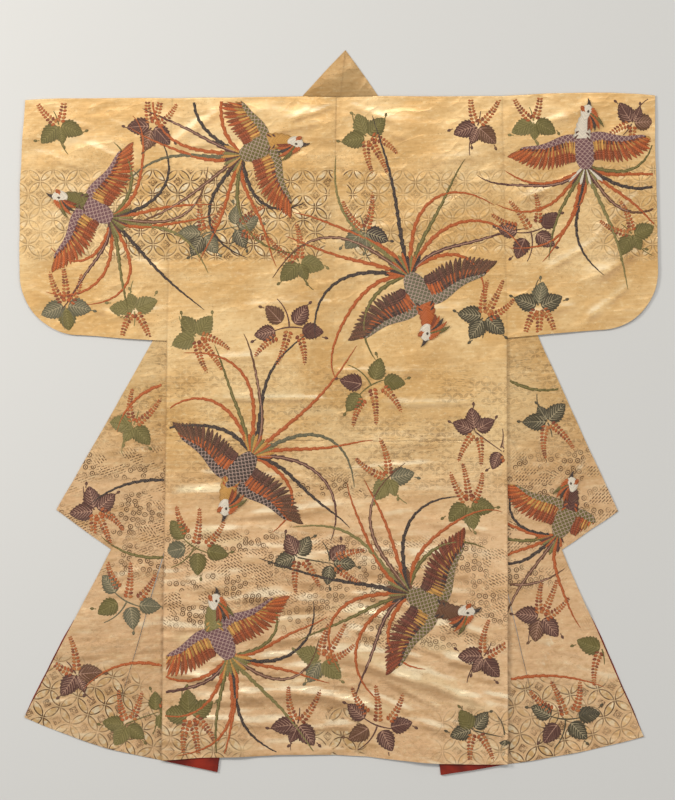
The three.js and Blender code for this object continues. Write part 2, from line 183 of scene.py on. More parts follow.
PEAK_CROWN = 5 * MM
PASS_WIDTH = 7 * MM
UP, DOWN = Vector((0, 0, 1)), Vector((0, 0, -1))


@dataclass(frozen=True)
class Crease:
    """One soft ridge of the silk, or one streak of painted highlight.

    Attributes:
        x, y: its middle, in mm.
        length, width: its length and half width, in mm.
        turn: its turn in degrees.
        rise: a ridge's height in mm, or a streak's strength.
    """

    x: float
    y: float
    length: float
    width: float
    turn: float
    rise: float

    def frame(self, x: Array, y: Array, ends: float) -> tuple[Array, Array, Array]:
        """Finds where places lie on it.

        Args:
            x, y: the places.
            ends: how sharply it ends.

        Returns:
            Distances along and across it from its middle, and its strength there.
        """
        turn = math.radians(self.turn)
        dx, dy = x - self.x * MM, y - self.y * MM
        along = dx * math.cos(turn) + dy * math.sin(turn)
        across = dy * math.cos(turn) - dx * math.sin(turn)
        return along, across, smooth(ends * (1 - np.abs(along) / (self.length * MM / 2)))


def creases(*rows: tuple[float, ...]) -> tuple[Crease, ...]:
    """Gives creases from rows of their numbers."""
    return tuple(Crease(*row) for row in rows)


CREASES = creases(
    # x, y, length, width, turn, rise: broad swells first, then the drapes between them
    (-120, 648, 190, 26, 8, 1.3), (150, 640, 170, 24, -14, 1.1),
    (-190, -62, 340, 20, 0, 1.6), (190, -64, 330, 20, 1, 1.6),
    (-260, -205, 190, 30, 6, 2.2), (210, -180, 220, 32, -8, 2.2),
    (-130, -330, 230, 30, -3, 3.0), (120, -345, 210, 26, -6, 3.0),
    (150, -470, 280, 28, -12, 4.0), (90, -560, 250, 26, -22, 3.8),
    (240, -600, 200, 26, -30, 3.2), (-250, -500, 220, 30, 6, 3.0),
    (-120, -610, 240, 30, 7, 2.6), (-520, 560, 230, 30, -22, 2.2),
    (-560, 380, 220, 28, -38, 2.2), (540, 570, 240, 30, 18, 2.2),
    (600, 330, 190, 28, 40, 2.2),
    (-298, -177, 150, 12, 0, 2.6), (-270, -262, 120, 13, 3, 2.8), (203, -315, 110, 13, 5, 2.4),
    (234, -353, 120, 13, -10, 2.8), (126, -397, 120, 12, -8, 2.6), (99, -490, 210, 15, -8, 3.4),
    (112, -534, 190, 11, -7, 3.0), (101, -572, 160, 12, -20, 3.0), (210, -602, 120, 13, -20, 3.2),
    (108, -646, 120, 12, -30, 2.6), (-316, -478, 150, 13, 3, 2.8), (-322, -582, 130, 12, -5, 2.6),
    (-205, -622, 100, 12, -30, 2.4), (-64, -622, 150, 12, -5, 2.6), (-36, -578, 130, 12, -8, 2.4),
    (42, -403, 150, 12, 3, 2.2), (62, -448, 140, 12, -6, 2.6), (-119, -414, 210, 14, -5, 2.8),
    (290, -557, 150, 13, -8, 3.0), (-230, -545, 140, 12, 8, 2.6), (270, -480, 160, 13, -12, 2.8),
    (-150, -690, 170, 12, 4, 2.4), (200, -690, 180, 13, -14, 2.8), (300, -640, 130, 12, -18, 2.8),
    (-90, -500, 150, 12, 4, 2.4), (-130, -225, 190, 13, 4, 1.8), (120, -230, 200, 13, -3, 1.8),
    (-335, 620, 110, 10, 42, 1.5), (-296, 640, 100, 10, 38, 1.4), (-500, 566, 150, 10, -25, 1.4),
    (-622, 560, 130, 10, -20, 1.3), (-638, 250, 130, 11, -30, 1.6), (-480, 212, 170, 10, -12, 1.6),
    (330, 600, 120, 10, -40, 1.4), (470, 562, 150, 10, 25, 1.3), (620, 330, 150, 11, 34, 1.6),
    (470, 226, 150, 10, 10, 1.5), (-100, 652, 110, 9, 28, 0.8), (104, 650, 110, 9, -30, 0.8),
)
FINE_CREASES = creases(
    (-60, 660, 120, 7, 20, 1.0), (-95, 628, 150, 9, 12, 1.1), (66, 662, 110, 8, -24, 1.0),
    (98, 620, 140, 9, -18, 1.0), (-300, 590, 160, 9, 4, 0.8), (260, 560, 170, 10, 6, 0.8),
    (-210, 420, 220, 9, -3, 0.9), (120, 410, 240, 10, 4, 0.9), (-110, 240, 260, 9, 2, 0.9),
    (180, 230, 230, 9, -4, 0.9), (-240, 120, 240, 9, 3, 1.0), (90, 90, 280, 9, -2, 1.0),
    (-140, 30, 320, 7, 0, 1.1), (200, 20, 260, 8, 1, 1.0), (-200, -140, 280, 9, -3, 1.2),
    (110, -120, 250, 9, 4, 1.2), (-90, -215, 240, 10, 5, 1.3), (270, -255, 190, 9, -10, 1.2),
    (-300, -290, 180, 10, -8, 1.2), (40, -270, 220, 9, 9, 1.3), (-190, -410, 260, 10, 6, 1.4),
    (210, -395, 240, 10, -6, 1.5), (110, -420, 190, 9, -14, 1.5), (190, -525, 220, 10, -20, 1.7),
    (90, -505, 170, 9, -26, 1.5), (20, -640, 200, 10, -14, 1.4), (160, -620, 190, 9, -28, 1.5),
    (280, -690, 150, 9, -12, 1.2), (-300, -590, 160, 10, -14, 1.3), (-170, -545, 210, 9, 8, 1.4),
    (-60, -700, 210, 9, 5, 1.2), (-250, -680, 190, 9, -6, 1.2), (-600, 640, 150, 8, -12, 0.9),
    (-460, 620, 150, 9, -28, 1.0), (-610, 470, 190, 9, -40, 1.2), (-500, 450, 210, 10, -33, 1.2),
    (-440, 330, 180, 9, -20, 1.0), (-560, 270, 170, 9, -48, 1.1), (-430, 220, 130, 9, 8, 0.9),
    (450, 640, 170, 9, 14, 1.0), (610, 610, 150, 8, 26, 0.9), (480, 500, 220, 10, 22, 1.1),
    (620, 440, 170, 9, 46, 1.1), (520, 350, 210, 10, 31, 1.2), (430, 250, 150, 9, -12, 1.0),
    (590, 240, 150, 9, 38, 1.1),
)
WING_CREASES = creases(
    (-470, 20, 150, 9, -62, 1.0), (-520, -150, 170, 10, -58, 1.2), (-450, -90, 120, 9, 12, 0.9),
    (-560, -430, 170, 10, -64, 1.2), (-470, -360, 140, 9, 24, 1.0), (-590, -590, 150, 10, -30, 1.3),
    (-470, -560, 150, 10, 8, 1.2), (-440, -680, 110, 9, 14, 1.0), (470, -30, 160, 9, 66, 1.0),
    (520, -160, 170, 10, 62, 1.2), (430, -120, 110, 9, -10, 0.9), (560, -420, 170, 10, 66, 1.2),
    (440, -380, 130, 9, -16, 1.0), (590, -600, 160, 10, 34, 1.3), (470, -520, 170, 8, 74, 1.3),
    (520, -690, 150, 9, -12, 1.0),
)


# ---- plane helpers ----
def smooth(value: Array) -> Array:
    """Eases a value from 0 to 1, held outside that range."""
    held = np.clip(value, 0, 1)
    return held * held * (3 - 2 * held)


def read_line(points: Array, at: Array, axis: int) -> Array:
    """Reads one coordinate off a line of places where the other has a value.

    Args:
        points: places along the line.
        at: values of the known coordinate.
        axis: 0 where x is known, 1 where y is.

    Returns:
        The other coordinate, straight on past the line's ends.
    """
    line = points[np.argsort(points[:, axis])]
    k = np.clip(np.searchsorted(line[:, axis], at), 1, len(line) - 1)
    start, end = line[k - 1], line[k]
    share = (at - start[..., axis]) / (end[..., axis] - start[..., axis])
    return start[..., 1 - axis] + share * (end[..., 1 - axis] - start[..., 1 - axis])


def y_on(points: Array, x: Array) -> Array:
    """Height of a line at x."""
    return read_line(points, np.asarray(x, float), 0)


def x_on(points: Array, y: Array) -> Array:
    """Place across of a line at y."""
    return read_line(points, np.asarray(y, float), 1)


def mix(start: Array, end: Array, share: Array) -> Array:
    """Place part of the way from start to end."""
    return start + (end - start) * np.asarray(share)[..., None]


def span(start: Array, end: Array) -> float:
    """Distance between two places."""
    return float(np.hypot(*(start - end)))


def off_line(x: Array, y: Array, start: Array, end: Array) -> Array:
    """Signed distance from the line start-end, positive on its left."""
    run = end - start
    return (run[0] * (y - start[1]) - run[1] * (x - start[0])) / np.hypot(*run)


def shift_line(points: Sequence[Array], distance: float) -> Array:
    """Line moved sideways, positive to its left, with mitred corners.

    Args:
        points: the line's points.
        distance: how far it moves.

    Returns:
        The moved line.
    """
    line = np.array(points)
    runs = np.diff(line, axis=0)
    normals = np.stack([-runs[:, 1], runs[:, 0]], 1) / np.hypot(runs[:, 0], runs[:, 1])[:, None]
    before = np.vstack([normals[:1], normals])
    after = np.vstack([normals, normals[-1:]])
    scale = distance / (1 + (before * after).sum(1))
    return line + (before + after) * scale[:, None]


def along_line(points: Array, share: Array) -> Array:
    """Places by share of a line's length.

    Args:
        points: the line's points.
        share: shares of its length.

    Returns:
        The places.
    """
    runs = np.hypot(*np.diff(points, axis=0).T)
    reach = np.concatenate([[0], np.cumsum(runs)]) / runs.sum()
    return np.stack([np.interp(share, reach, points[:, 0]), np.interp(share, reach, points[:, 1])], -1)


def value_noise(x: Array, y: Array, seed: int) -> Array:
    """Smooth noise from -1 to 1, one cell to a unit.

    Args:
        x, y: places, in cells.
        seed: which noise it is.

    Returns:
        The noise at each place.
    """
    left, low = np.floor(x), np.floor(y)
    across, up = smooth(x - left), smooth(y - low)

    def corner(dx: int, dy: int) -> Array:
        """Value at a cell's corner."""
        wave = np.sin((left + dx) * 127.1 + (low + dy) * 311.7 + seed * 74.7) * 43758.5453
        return (wave - np.floor(wave)) * 2 - 1

    bottom = corner(0, 0) + (corner(1, 0) - corner(0, 0)) * across
    top = corner(0, 1) + (corner(1, 1) - corner(0, 1)) * across
    return bottom + (top - bottom) * up


def graded(count: int, length: float) -> Array:
    """Shares from 0 to 1, even in the middle and close together at both edges.

    Args:
        count: steps between the edges.
        length: real length that the shares cover.

    Returns:
        The shares, in order.
    """
    near = np.array(EDGE_STEPS) / length
    middle = np.linspace(near[-1], 1 - near[-1], count + 1)
    return np.concatenate([[0], near[:-1], middle, 1 - near[:-1][::-1], [1]])


# ---- the form of the lying cloth ----
class Form:
    """Heights of the lying robe, shared by its silk and its embroidery."""

    WAVER = 0.9 * MM
    PUFF = 0.8 * MM
    PUFF_REACH = 4.5 * MM

    def ridges(self, x: Array, y: Array, laid: Sequence[Crease]) -> Array:
        """Height that a list of creases adds.

        Args:
            x, y: places in plan.
            laid: the creases.

        Returns:
            Height at each place.
        """
        total = np.zeros_like(x)
        for crease in laid:
            _, across, reach = crease.frame(x, y, 2)
            total += crease.rise * MM * reach * np.exp(-(np.abs(across / (crease.width * MM)) ** 1.6))
        return total

    def ripples(self, x: Array, y: Array) -> Array:
        """Low uneven ripples across the silk, stronger towards the hem.

        Args:
            x, y: places in plan.

        Returns:
            Height at each place.
        """
        drift = 26 * MM * value_noise(x / 0.19, y / 0.11, 3)
        lean = -0.34 * smooth((x + 0.02) / 0.12) * smooth((-0.28 - y) / 0.2)
        level = y - lean * x + drift
        broad = value_noise(x / 0.14, level / 0.032, 11)
        close = value_noise(x / 0.07 + 5, level / 0.014, 17)
        strength = 0.35 + 0.85 * smooth((0.05 - y) / 0.5)
        sharp = 0.45 + 0.55 * smooth((-0.22 - y) / 0.2)
        return MM * strength * (1.5 + broad + sharp * close)

    def folds(self, x: Array, y: Array) -> Array:
        """All soft folds of the back and the sleeves."""
        wide = 0.9 * self.ridges(x, y, CREASES)
        return wide + 1.2 * self.ridges(x, y, FINE_CREASES) + self.ripples(x, y)

    def painted_fold_light(self, folds: Callable[[Array, Array], Array], x: Array, y: Array) -> Array:
        """How the folds lean to the light, from 0 where they lean away to 1, for the painted highlight and
        shade.

        Args:
            folds: height function that is read.
            x, y: places in plan.

        Returns:
            Share at each place.
        """
        step = 1.5 * MM
        lean_x = (folds(x + step, y) - folds(x - step, y)) / (2 * step)
        lean_y = (folds(x, y + step) - folds(x, y - step)) / (2 * step)
        return 0.5 + 3.0 * (0.45 * lean_x - 0.9 * lean_y)

    def wing_folds(self, x: Array, y: Array) -> Array:
        """Soft folds of what lies face up on the floor."""
        return self.ridges(x, y, WING_CREASES) + 0.6 * self.ripples(x, y)

    def wavering(self, x: Array, y: Array) -> Array:
        """Small drift of the silk in its plane, so that no edge runs dead straight."""
        drift_x, drift_y = value_noise(x / 0.05, y / 0.06, 61), value_noise(x / 0.06, y / 0.05, 67)
        return self.WAVER * np.stack([drift_x, drift_y], -1)

    def seam_puff(self, distance: Array) -> Array:
        """How far the silk has risen at a distance from a seam."""
        return self.PUFF * (1 - np.exp(-((distance / self.PUFF_REACH) ** 2)))

    def back(self, side: Side, x: Array, y: Array) -> Array:
        """Mid-surface of the back of one body length.

        Args:
            side: side of the robe.
            x, y: places in plan.

        Returns:
            Height at each place.
        """
        outwards = -side.sign * off_line(x, y, side.fold_foot, side.neck)
        over = smooth((outwards - RISE_FROM) / (RISE_TO - RISE_FROM))
        above = side.sign * off_line(x, y, side.fold_foot, side.side_foot)
        band = 1 - smooth((above - BAND_FULL) / (BAND_END - BAND_FULL))
        base = over * (BACK_BASE + (LINING_WALL + GAP) * band) + WALL / 2
        calm = smooth((y_on(side.top_line, x) - y) / EDGE_CALM)
        to_seam = np.minimum(np.abs(x - x_on(side.back_centre, y)), np.abs(side.out(x, y)))
        return base + calm * (self.folds(x, y) + self.seam_puff(to_seam))

    def sleeve_lift(self, side: Side, x: Array, y: Array) -> Array:
        """Underside of a sleeve's lower layer.

        Args:
            side: side of the robe.
            x, y: places in plan.

        Returns:
            Height at each place.
        """
        seam_x = x_on(side.side_line, y)
        collar_x = x_on(np.array([side.wing_corner, side.free_knee]), y)
        beneath = np.maximum(0, side.sign * (collar_x - seam_x))
        out = side.sign * (x - seam_x) - beneath
        return LEVEL * (1 - smooth((out - SLEEVE_REACH[0]) / (SLEEVE_REACH[1] - SLEEVE_REACH[0])))

    def sleeve(self, side: Side, x: Array, y: Array) -> Array:
        """Mid-surface of a sleeve's upper layer.

        Args:
            side: side of the robe.
            x, y: places in plan.

        Returns:
            Height at each place.
        """
        calm = smooth((y_on(side.sleeve_top, x) - y) / EDGE_CALM)
        rise = calm * (self.folds(x, y) + self.seam_puff(np.abs(side.out(x, y))))
        return self.sleeve_lift(side, x, y) + LEVEL + WALL / 2 + rise

    def wing(self, side: Side, x: Array, y: Array) -> Array:
        """Mid-surface of what lies face up on the floor."""
        clear = smooth((side.out(x, y) - 6 * MM) / (34 * MM))
        return FLOOR_LAYER + clear * self.wing_folds(x, y)

    def top(self, x: Array, y: Array) -> Array:
        """Upper face of the back and sleeves.

        Args:
            x, y: places in plan.

        Returns:
            Height at each place.
        """
        height = np.zeros_like(x)
        centre = x_on(LEFT.back_centre, y)
        for side in SIDES:
            mine = (x - centre) * side.sign >= 0
            on_sleeve = mine & (side.out(x, y) > 0)
            height = np.where(mine, self.back(side, x, y), height)
            height = np.where(on_sleeve, self.sleeve(side, x, y), height)
        return height + WALL / 2

    def cut_place(self, x: Array, y: Array) -> Array:
        """Place on the flat cloth of what lies as it was sewn."""
        return np.stack([x, SHOULDER_Y - y], -1)

    def turned_cut_place(self, side: Side, x: Array, y: Array) -> Array:
        """Place on the flat cloth of what was turned outwards over the fold.

        Args:
            side: side of the robe.
            x, y: places in plan.

        Returns:
            Places on the flat cloth.
        """
        run = side.fold_run
        dx, dy = x - side.neck[0], y - side.neck[1]
        along = dx * run[0] + dy * run[1]
        mirrored_x = side.neck[0] + 2 * along * run[0] - dx
        mirrored_y = side.neck[1] + 2 * along * run[1] - dy
        return self.cut_place(mirrored_x, mirrored_y)


FORM = Form()


# ---- silk meshes ----
def put(name: str, data: bpy.types.ID) -> Piece:
    """Adds an object to the scene, at the origin.

    Args:
        name: name of the object.
        data: its mesh, light or camera.

    Returns:
        The object.
    """
    piece = bpy.data.objects.new(name, data)
    bpy.context.scene.collection.objects.link(piece)
    return piece


def end_mesh(bm: bmesh.types.BMesh, name: str, *finishes: Material) -> Mesh:
    """Turns a bmesh into a mesh with its finishes.

    Args:
        bm: the bmesh, which is freed.
        name: name of the mesh.
        finishes: its materials, by their numbers on the faces.

    Returns:
        The mesh.
    """
    mesh = bpy.data.meshes.new(name)
    bm.to_mesh(mesh)
    bm.free()
    for finish in finishes:
        mesh.materials.append(finish)
    return mesh


def grid_patch(bm: bmesh.types.BMesh, columns: int, rows: int) -> tuple[list, Array]:
    """Adds a grid patch and gives its points and their shares across and along it."""
    verts = bmesh.ops.create_grid(bm, x_segments=columns, y_segments=rows, size=0.5)["verts"]
    return verts, np.array([(v.co.x, v.co.y) for v in verts]) + 0.5


class SilkMesh:
    """One piece of silk, made of grid patches that share their edges."""

    def __init__(self, name: str) -> None:
        """Starts an empty piece.

        Args:
            name: name of the piece and its mesh.
        """
        self.name = name
        self.bm = bmesh.new()
        self.cut = self.bm.verts.layers.float_vector.new("cut_place")

    def patch(self, columns: int, rows: int, place: Place, facing: Vector) -> None:
        """Adds a grid patch and moves its points to their places.

        Args:
            columns: steps across.
            rows: steps along.
            place: gives places and cut places for column and row numbers.
            facing: side that the patch's outer face looks to.
        """
        verts, grid = grid_patch(self.bm, columns, rows)
        column, row = np.rint(grid * (columns, rows)).astype(int).T
        places, cuts = place(column, row)
        places[:, :2] += FORM.wavering(places[:, 0], places[:, 1])
        for vert, at, cut in zip(verts, places.tolist(), cuts.tolist()):
            vert.co = at
            vert[self.cut] = (*cut, 0)
        faces = list({face for vert in verts for face in vert.link_faces})
        for face in faces:
            face.normal_update()
        if sum((face.normal for face in faces), Vector()).dot(facing) < 0:
            bmesh.ops.reverse_faces(self.bm, faces=faces)

    def piece(self, finishes: Sequence[Material], wall: float) -> Piece:
        """Joins the patches, gives the silk its wall and returns the object.

        Args:
            finishes: finishes of the outer face, the lining side and the edges.
            wall: thickness of the cloth.

        Returns:
            The finished object, at the origin.
        """
        bmesh.ops.remove_doubles(self.bm, verts=self.bm.verts, dist=0.02 * MM)
        for face in self.bm.faces:
            face.smooth = True
        for edge in self.bm.edges:
            edge.smooth = not edge.is_boundary
        mesh = end_mesh(self.bm, self.name, *finishes)
        lay_map(mesh, "cut_place", "cut")
        piece = put(self.name, mesh)
        solid = piece.modifiers.new("wall", "SOLIDIFY")
        solid.thickness = wall
        solid.offset = 0
        solid.material_offset = 1
        solid.material_offset_rim = 2
        return piece


def lay_map(mesh: Mesh, places_name: str, map_name: str) -> None:
    """Lays a UV map, in metres, from places kept on the points.

    Args:
        mesh: mesh that gets the map.
        places_name: attribute that holds the places.
        map_name: name of the map.
    """
    places = np.zeros(len(mesh.vertices) * 3)
    mesh.attributes[places_name].data.foreach_get("vector", places)
    corners = np.zeros(len(mesh.loops), int)
    mesh.loops.foreach_get("vertex_index", corners)
    layer = mesh.uv_layers.new(name=map_name)
    layer.data.foreach_set("uv", places.reshape(-1, 3)[corners, :2].ravel())


def points_of(mesh: Mesh) -> tuple[Array, Array]:
    """Places and cut places of a mesh's points.

    Args:
        mesh: mesh that is read.

    Returns:
        The places on the robe and on the flat cloth.
    """
    places = np.zeros(len(mesh.vertices) * 3)
    mesh.vertices.foreach_get("co", places)
    cuts = np.zeros(len(mesh.vertices) * 3)
    mesh.attributes["cut_place"].data.foreach_get("vector", cuts)
    return places.reshape(-1, 3), cuts.reshape(-1, 3)[:, :2]


def add_mask(mesh: Mesh, name: str, values: Array) -> None:
    """Keeps a value for each point under a name that finishes can read."""
    mask = mesh.attributes.new(name, "FLOAT", "POINT")
    mask.data.foreach_set("value", np.clip(values, 0, 1).astype(np.float32))


# ---- where the gold leaf lies ----
@dataclass(frozen=True)
class Band:
    """A stretch of gold leaf on the flat cloth, in mm from the centre and the shoulder.

    Attributes:
        left, right: how far it reaches across.
        start, end: how far it reaches along the cloth.
        edge: how softly it fades at its ends.
        side_edge: how softly it fades at its sides.
        strength: how much of it is left.
    """

    left: float
    right: float
    start: float
    end: float
    edge: float
    side_edge: float
    strength: float

    def mask(self, cut: Array) -> Array:
        """Strength of the band at places on the flat cloth.

        Args:
            cut: places on the flat cloth.

        Returns:
            Strength at each place.
        """
        x, y = cut[:, 0] / MM, cut[:, 1] / MM
        ends = smooth((y - self.start) / self.edge + 0.5) * smooth((self.end - y) / self.edge + 0.5)
        left = smooth((x - self.left) / self.side_edge + 0.5)
        right = smooth((self.right - x) / self.side_edge + 0.5)
        return self.strength * ends * left * right


CIRCLES_BACK = (
    Band(-720, -370, 158, 356, 12, 8, 0.58), Band(-490, 90, 158, 356, 12, 50, 1.0),
    Band(40, 372, 160, 340, 16, 90, 0.48), Band(366, 470, 160, 350, 16, 60, 0.35),
    Band(560, 720, 150, 356, 16, 90, 0.55),
    Band(-400, -210, 1376, 1500, 30, 90, 0.75), Band(230, 400, 1350, 1500, 40, 90, 0.55),
)
CIRCLES_WING = (Band(-700, 60, 1362, 1600, 30, 60, 0.9), Band(-60, 700, 1330, 1600, 30, 60, 0.85))
CLOUDS_BACK = (
    Band(-400, -120, 955, 1170, 30, 70, 1.0), Band(-140, 60, 965, 1190, 40, 90, 0.8),
    Band(30, 400, 975, 1215, 36, 90, 0.9),
)
CLOUDS_WING = (Band(-700, 120, 850, 1130, 40, 80, 0.95), Band(-120, 700, 830, 1110, 40, 80, 1.0))
WORN_BACK = (Band(-400, 400, 600, 880, 90, 40, 1.0), Band(-720, 720, 100, 420, 80, 40, 0.35),
             Band(-400, 400, 1180, 1480, 120, 60, 0.35))


def band_mask(bands: Sequence[Band], cut: Array) -> Array:
    """Strongest of several bands at each place."""
    return np.max([band.mask(cut) for band in bands] + [np.zeros(len(cut))], axis=0)


# streaks of painted highlight on the silk, which also lower its roughness
HIGHLIGHT_STREAKS = creases(
    (-543, 439, 128, 5, -44, 1.6), (-470, 580, 150, 10, -30, 0.5), (-600, 600, 160, 12, -14, 0.45),
    (-430, 640, 160, 9, 6, 0.4), (-250, 610, 240, 14, 3, 0.45), (-200, 420, 200, 10, -3, 0.4),
    (-300, 300, 180, 12, 2, 0.4), (-170, 40, 220, 12, 0, 0.8), (-60, 0, 190, 9, 1, 0.6),
    (-210, -30, 240, 8, -1, 0.6), (-180, -120, 260, 12, 2, 0.4), (-310, -264, 140, 8, 3, 1.3),
    (-305, -168, 150, 7, 2, 1.2), (-320, -290, 120, 8, -4, 0.9),
    (-250, -285, 130, 7, 5, 0.7), (-60, -330, 220, 12, 6, 0.5), (-300, -505, 160, 10, -8, 0.8),
    (-180, -470, 230, 12, 4, 0.5), (-80, -590, 240, 10, 8, 0.6), (70, -440, 240, 10, -8, 0.7),
    (170, -500, 230, 12, -14, 0.9), (110, -560, 250, 10, -24, 0.8), (230, -600, 210, 12, -30, 0.7),
    (60, -640, 190, 9, -18, 0.7), (300, -650, 120, 9, -14, 0.5), (130, -330, 220, 10, 3, 0.5),
    (200, 20, 260, 10, 1, 0.5), (120, 300, 220, 12, -2, 0.4), (250, 460, 220, 10, 3, 0.35),
    (560, 560, 190, 9, 20, 0.4), (450, 400, 180, 10, 30, 0.35), (600, 250, 160, 9, 44, 0.4),
    (-60, -720, 190, 9, 4, 0.6), (-260, -740, 200, 8, 0, 0.5), (290, -740, 150, 8, 2, 0.5),
)


def highlight_streak_mask(x: Array, y: Array) -> Array:
    """Strength of the painted highlight streaks.

    Args:
        x, y: places in plan.

    Returns:
        Strength at each place.
    """
    total = np.zeros_like(x)
    for streak in HIGHLIGHT_STREAKS:
        along, across, reach = streak.frame(x, y, 1.6)
        waver = 0.25 * streak.width * MM * value_noise(along / 0.02, across * 0 + streak.x, 5)
        total += streak.rise * reach * np.exp(-(((across + waver) / (streak.width * MM)) ** 2))
    return total


def dress_masks(mesh: Mesh, lying: Array | bool, seams: Array, shade: float | Array = 0.0) -> None:
    """Keeps on a piece's points where its gold leaf, wear, painted highlight streaks, seams with painted edge
    shadow, the folds' painted light and the painted shade lie.

    Args:
        mesh: the piece's mesh.
        lying: True where the silk lies face up on the floor and has the wings' leaf.
        seams: how strongly a seam, or the painted shadow along the back's side edge, shows at each point.
        shade: how much painted shade darkens the gold, for the piece or for each point.
    """
    places, cut = points_of(mesh)
    x, y = places[:, 0], places[:, 1]

    def leaf(back: Sequence[Band], wing: Sequence[Band]) -> Array:
        """Leaf of the back, or of the wings where the silk lies face up."""
        return np.where(lying, band_mask(wing, cut), band_mask(back, cut))

    shades = np.broadcast_to(shade, x.shape)
    across_back = smooth((0.366 - np.abs(x)) / (8 * MM)) * (shades < 0.01)
    masks = {
        "circles": leaf(CIRCLES_BACK, CIRCLES_WING) * (0.88 + 0.4 * value_noise(x / 0.06, y / 0.05, 23)),
        "clouds": leaf(CLOUDS_BACK, CLOUDS_WING) * smooth(1.3 + 1.6 * value_noise(x / 0.085, y / 0.04, 31)),
        "worn": band_mask(WORN_BACK, cut) * (0.7 + 0.5 * value_noise(x / 0.09, y / 0.04, 37)),
        "streaks": highlight_streak_mask(x, y),
        "painted_fold_light": np.where(shades > 0, FORM.painted_fold_light(FORM.wing_folds, x, y), FORM.painted_fold_light(FORM.folds, x, y)),
        "shade": shades,
        "creased": across_back * smooth((26 * MM - np.abs(y - CROSS_CREASE)) / (8 * MM)),
        "slant": smooth((x / MM - 10) / 90) * smooth((-400 - y / MM) / 120),
        "lower": smooth((cut[:, 1] / MM - 700) / 300),
        "seams": seams,
    }
    for name, values in masks.items():
        add_mask(mesh, name, values)


def seam_mask(*seams: tuple[Array, float]) -> Array:
    """How strongly seams, and painted shadow along an edge, show, from the distance to each and its strength.
    """
    shown = [strength * np.exp(-((distance / (2.2 * MM)) ** 2)) for distance, strength in seams]
    return np.max(shown, axis=0)


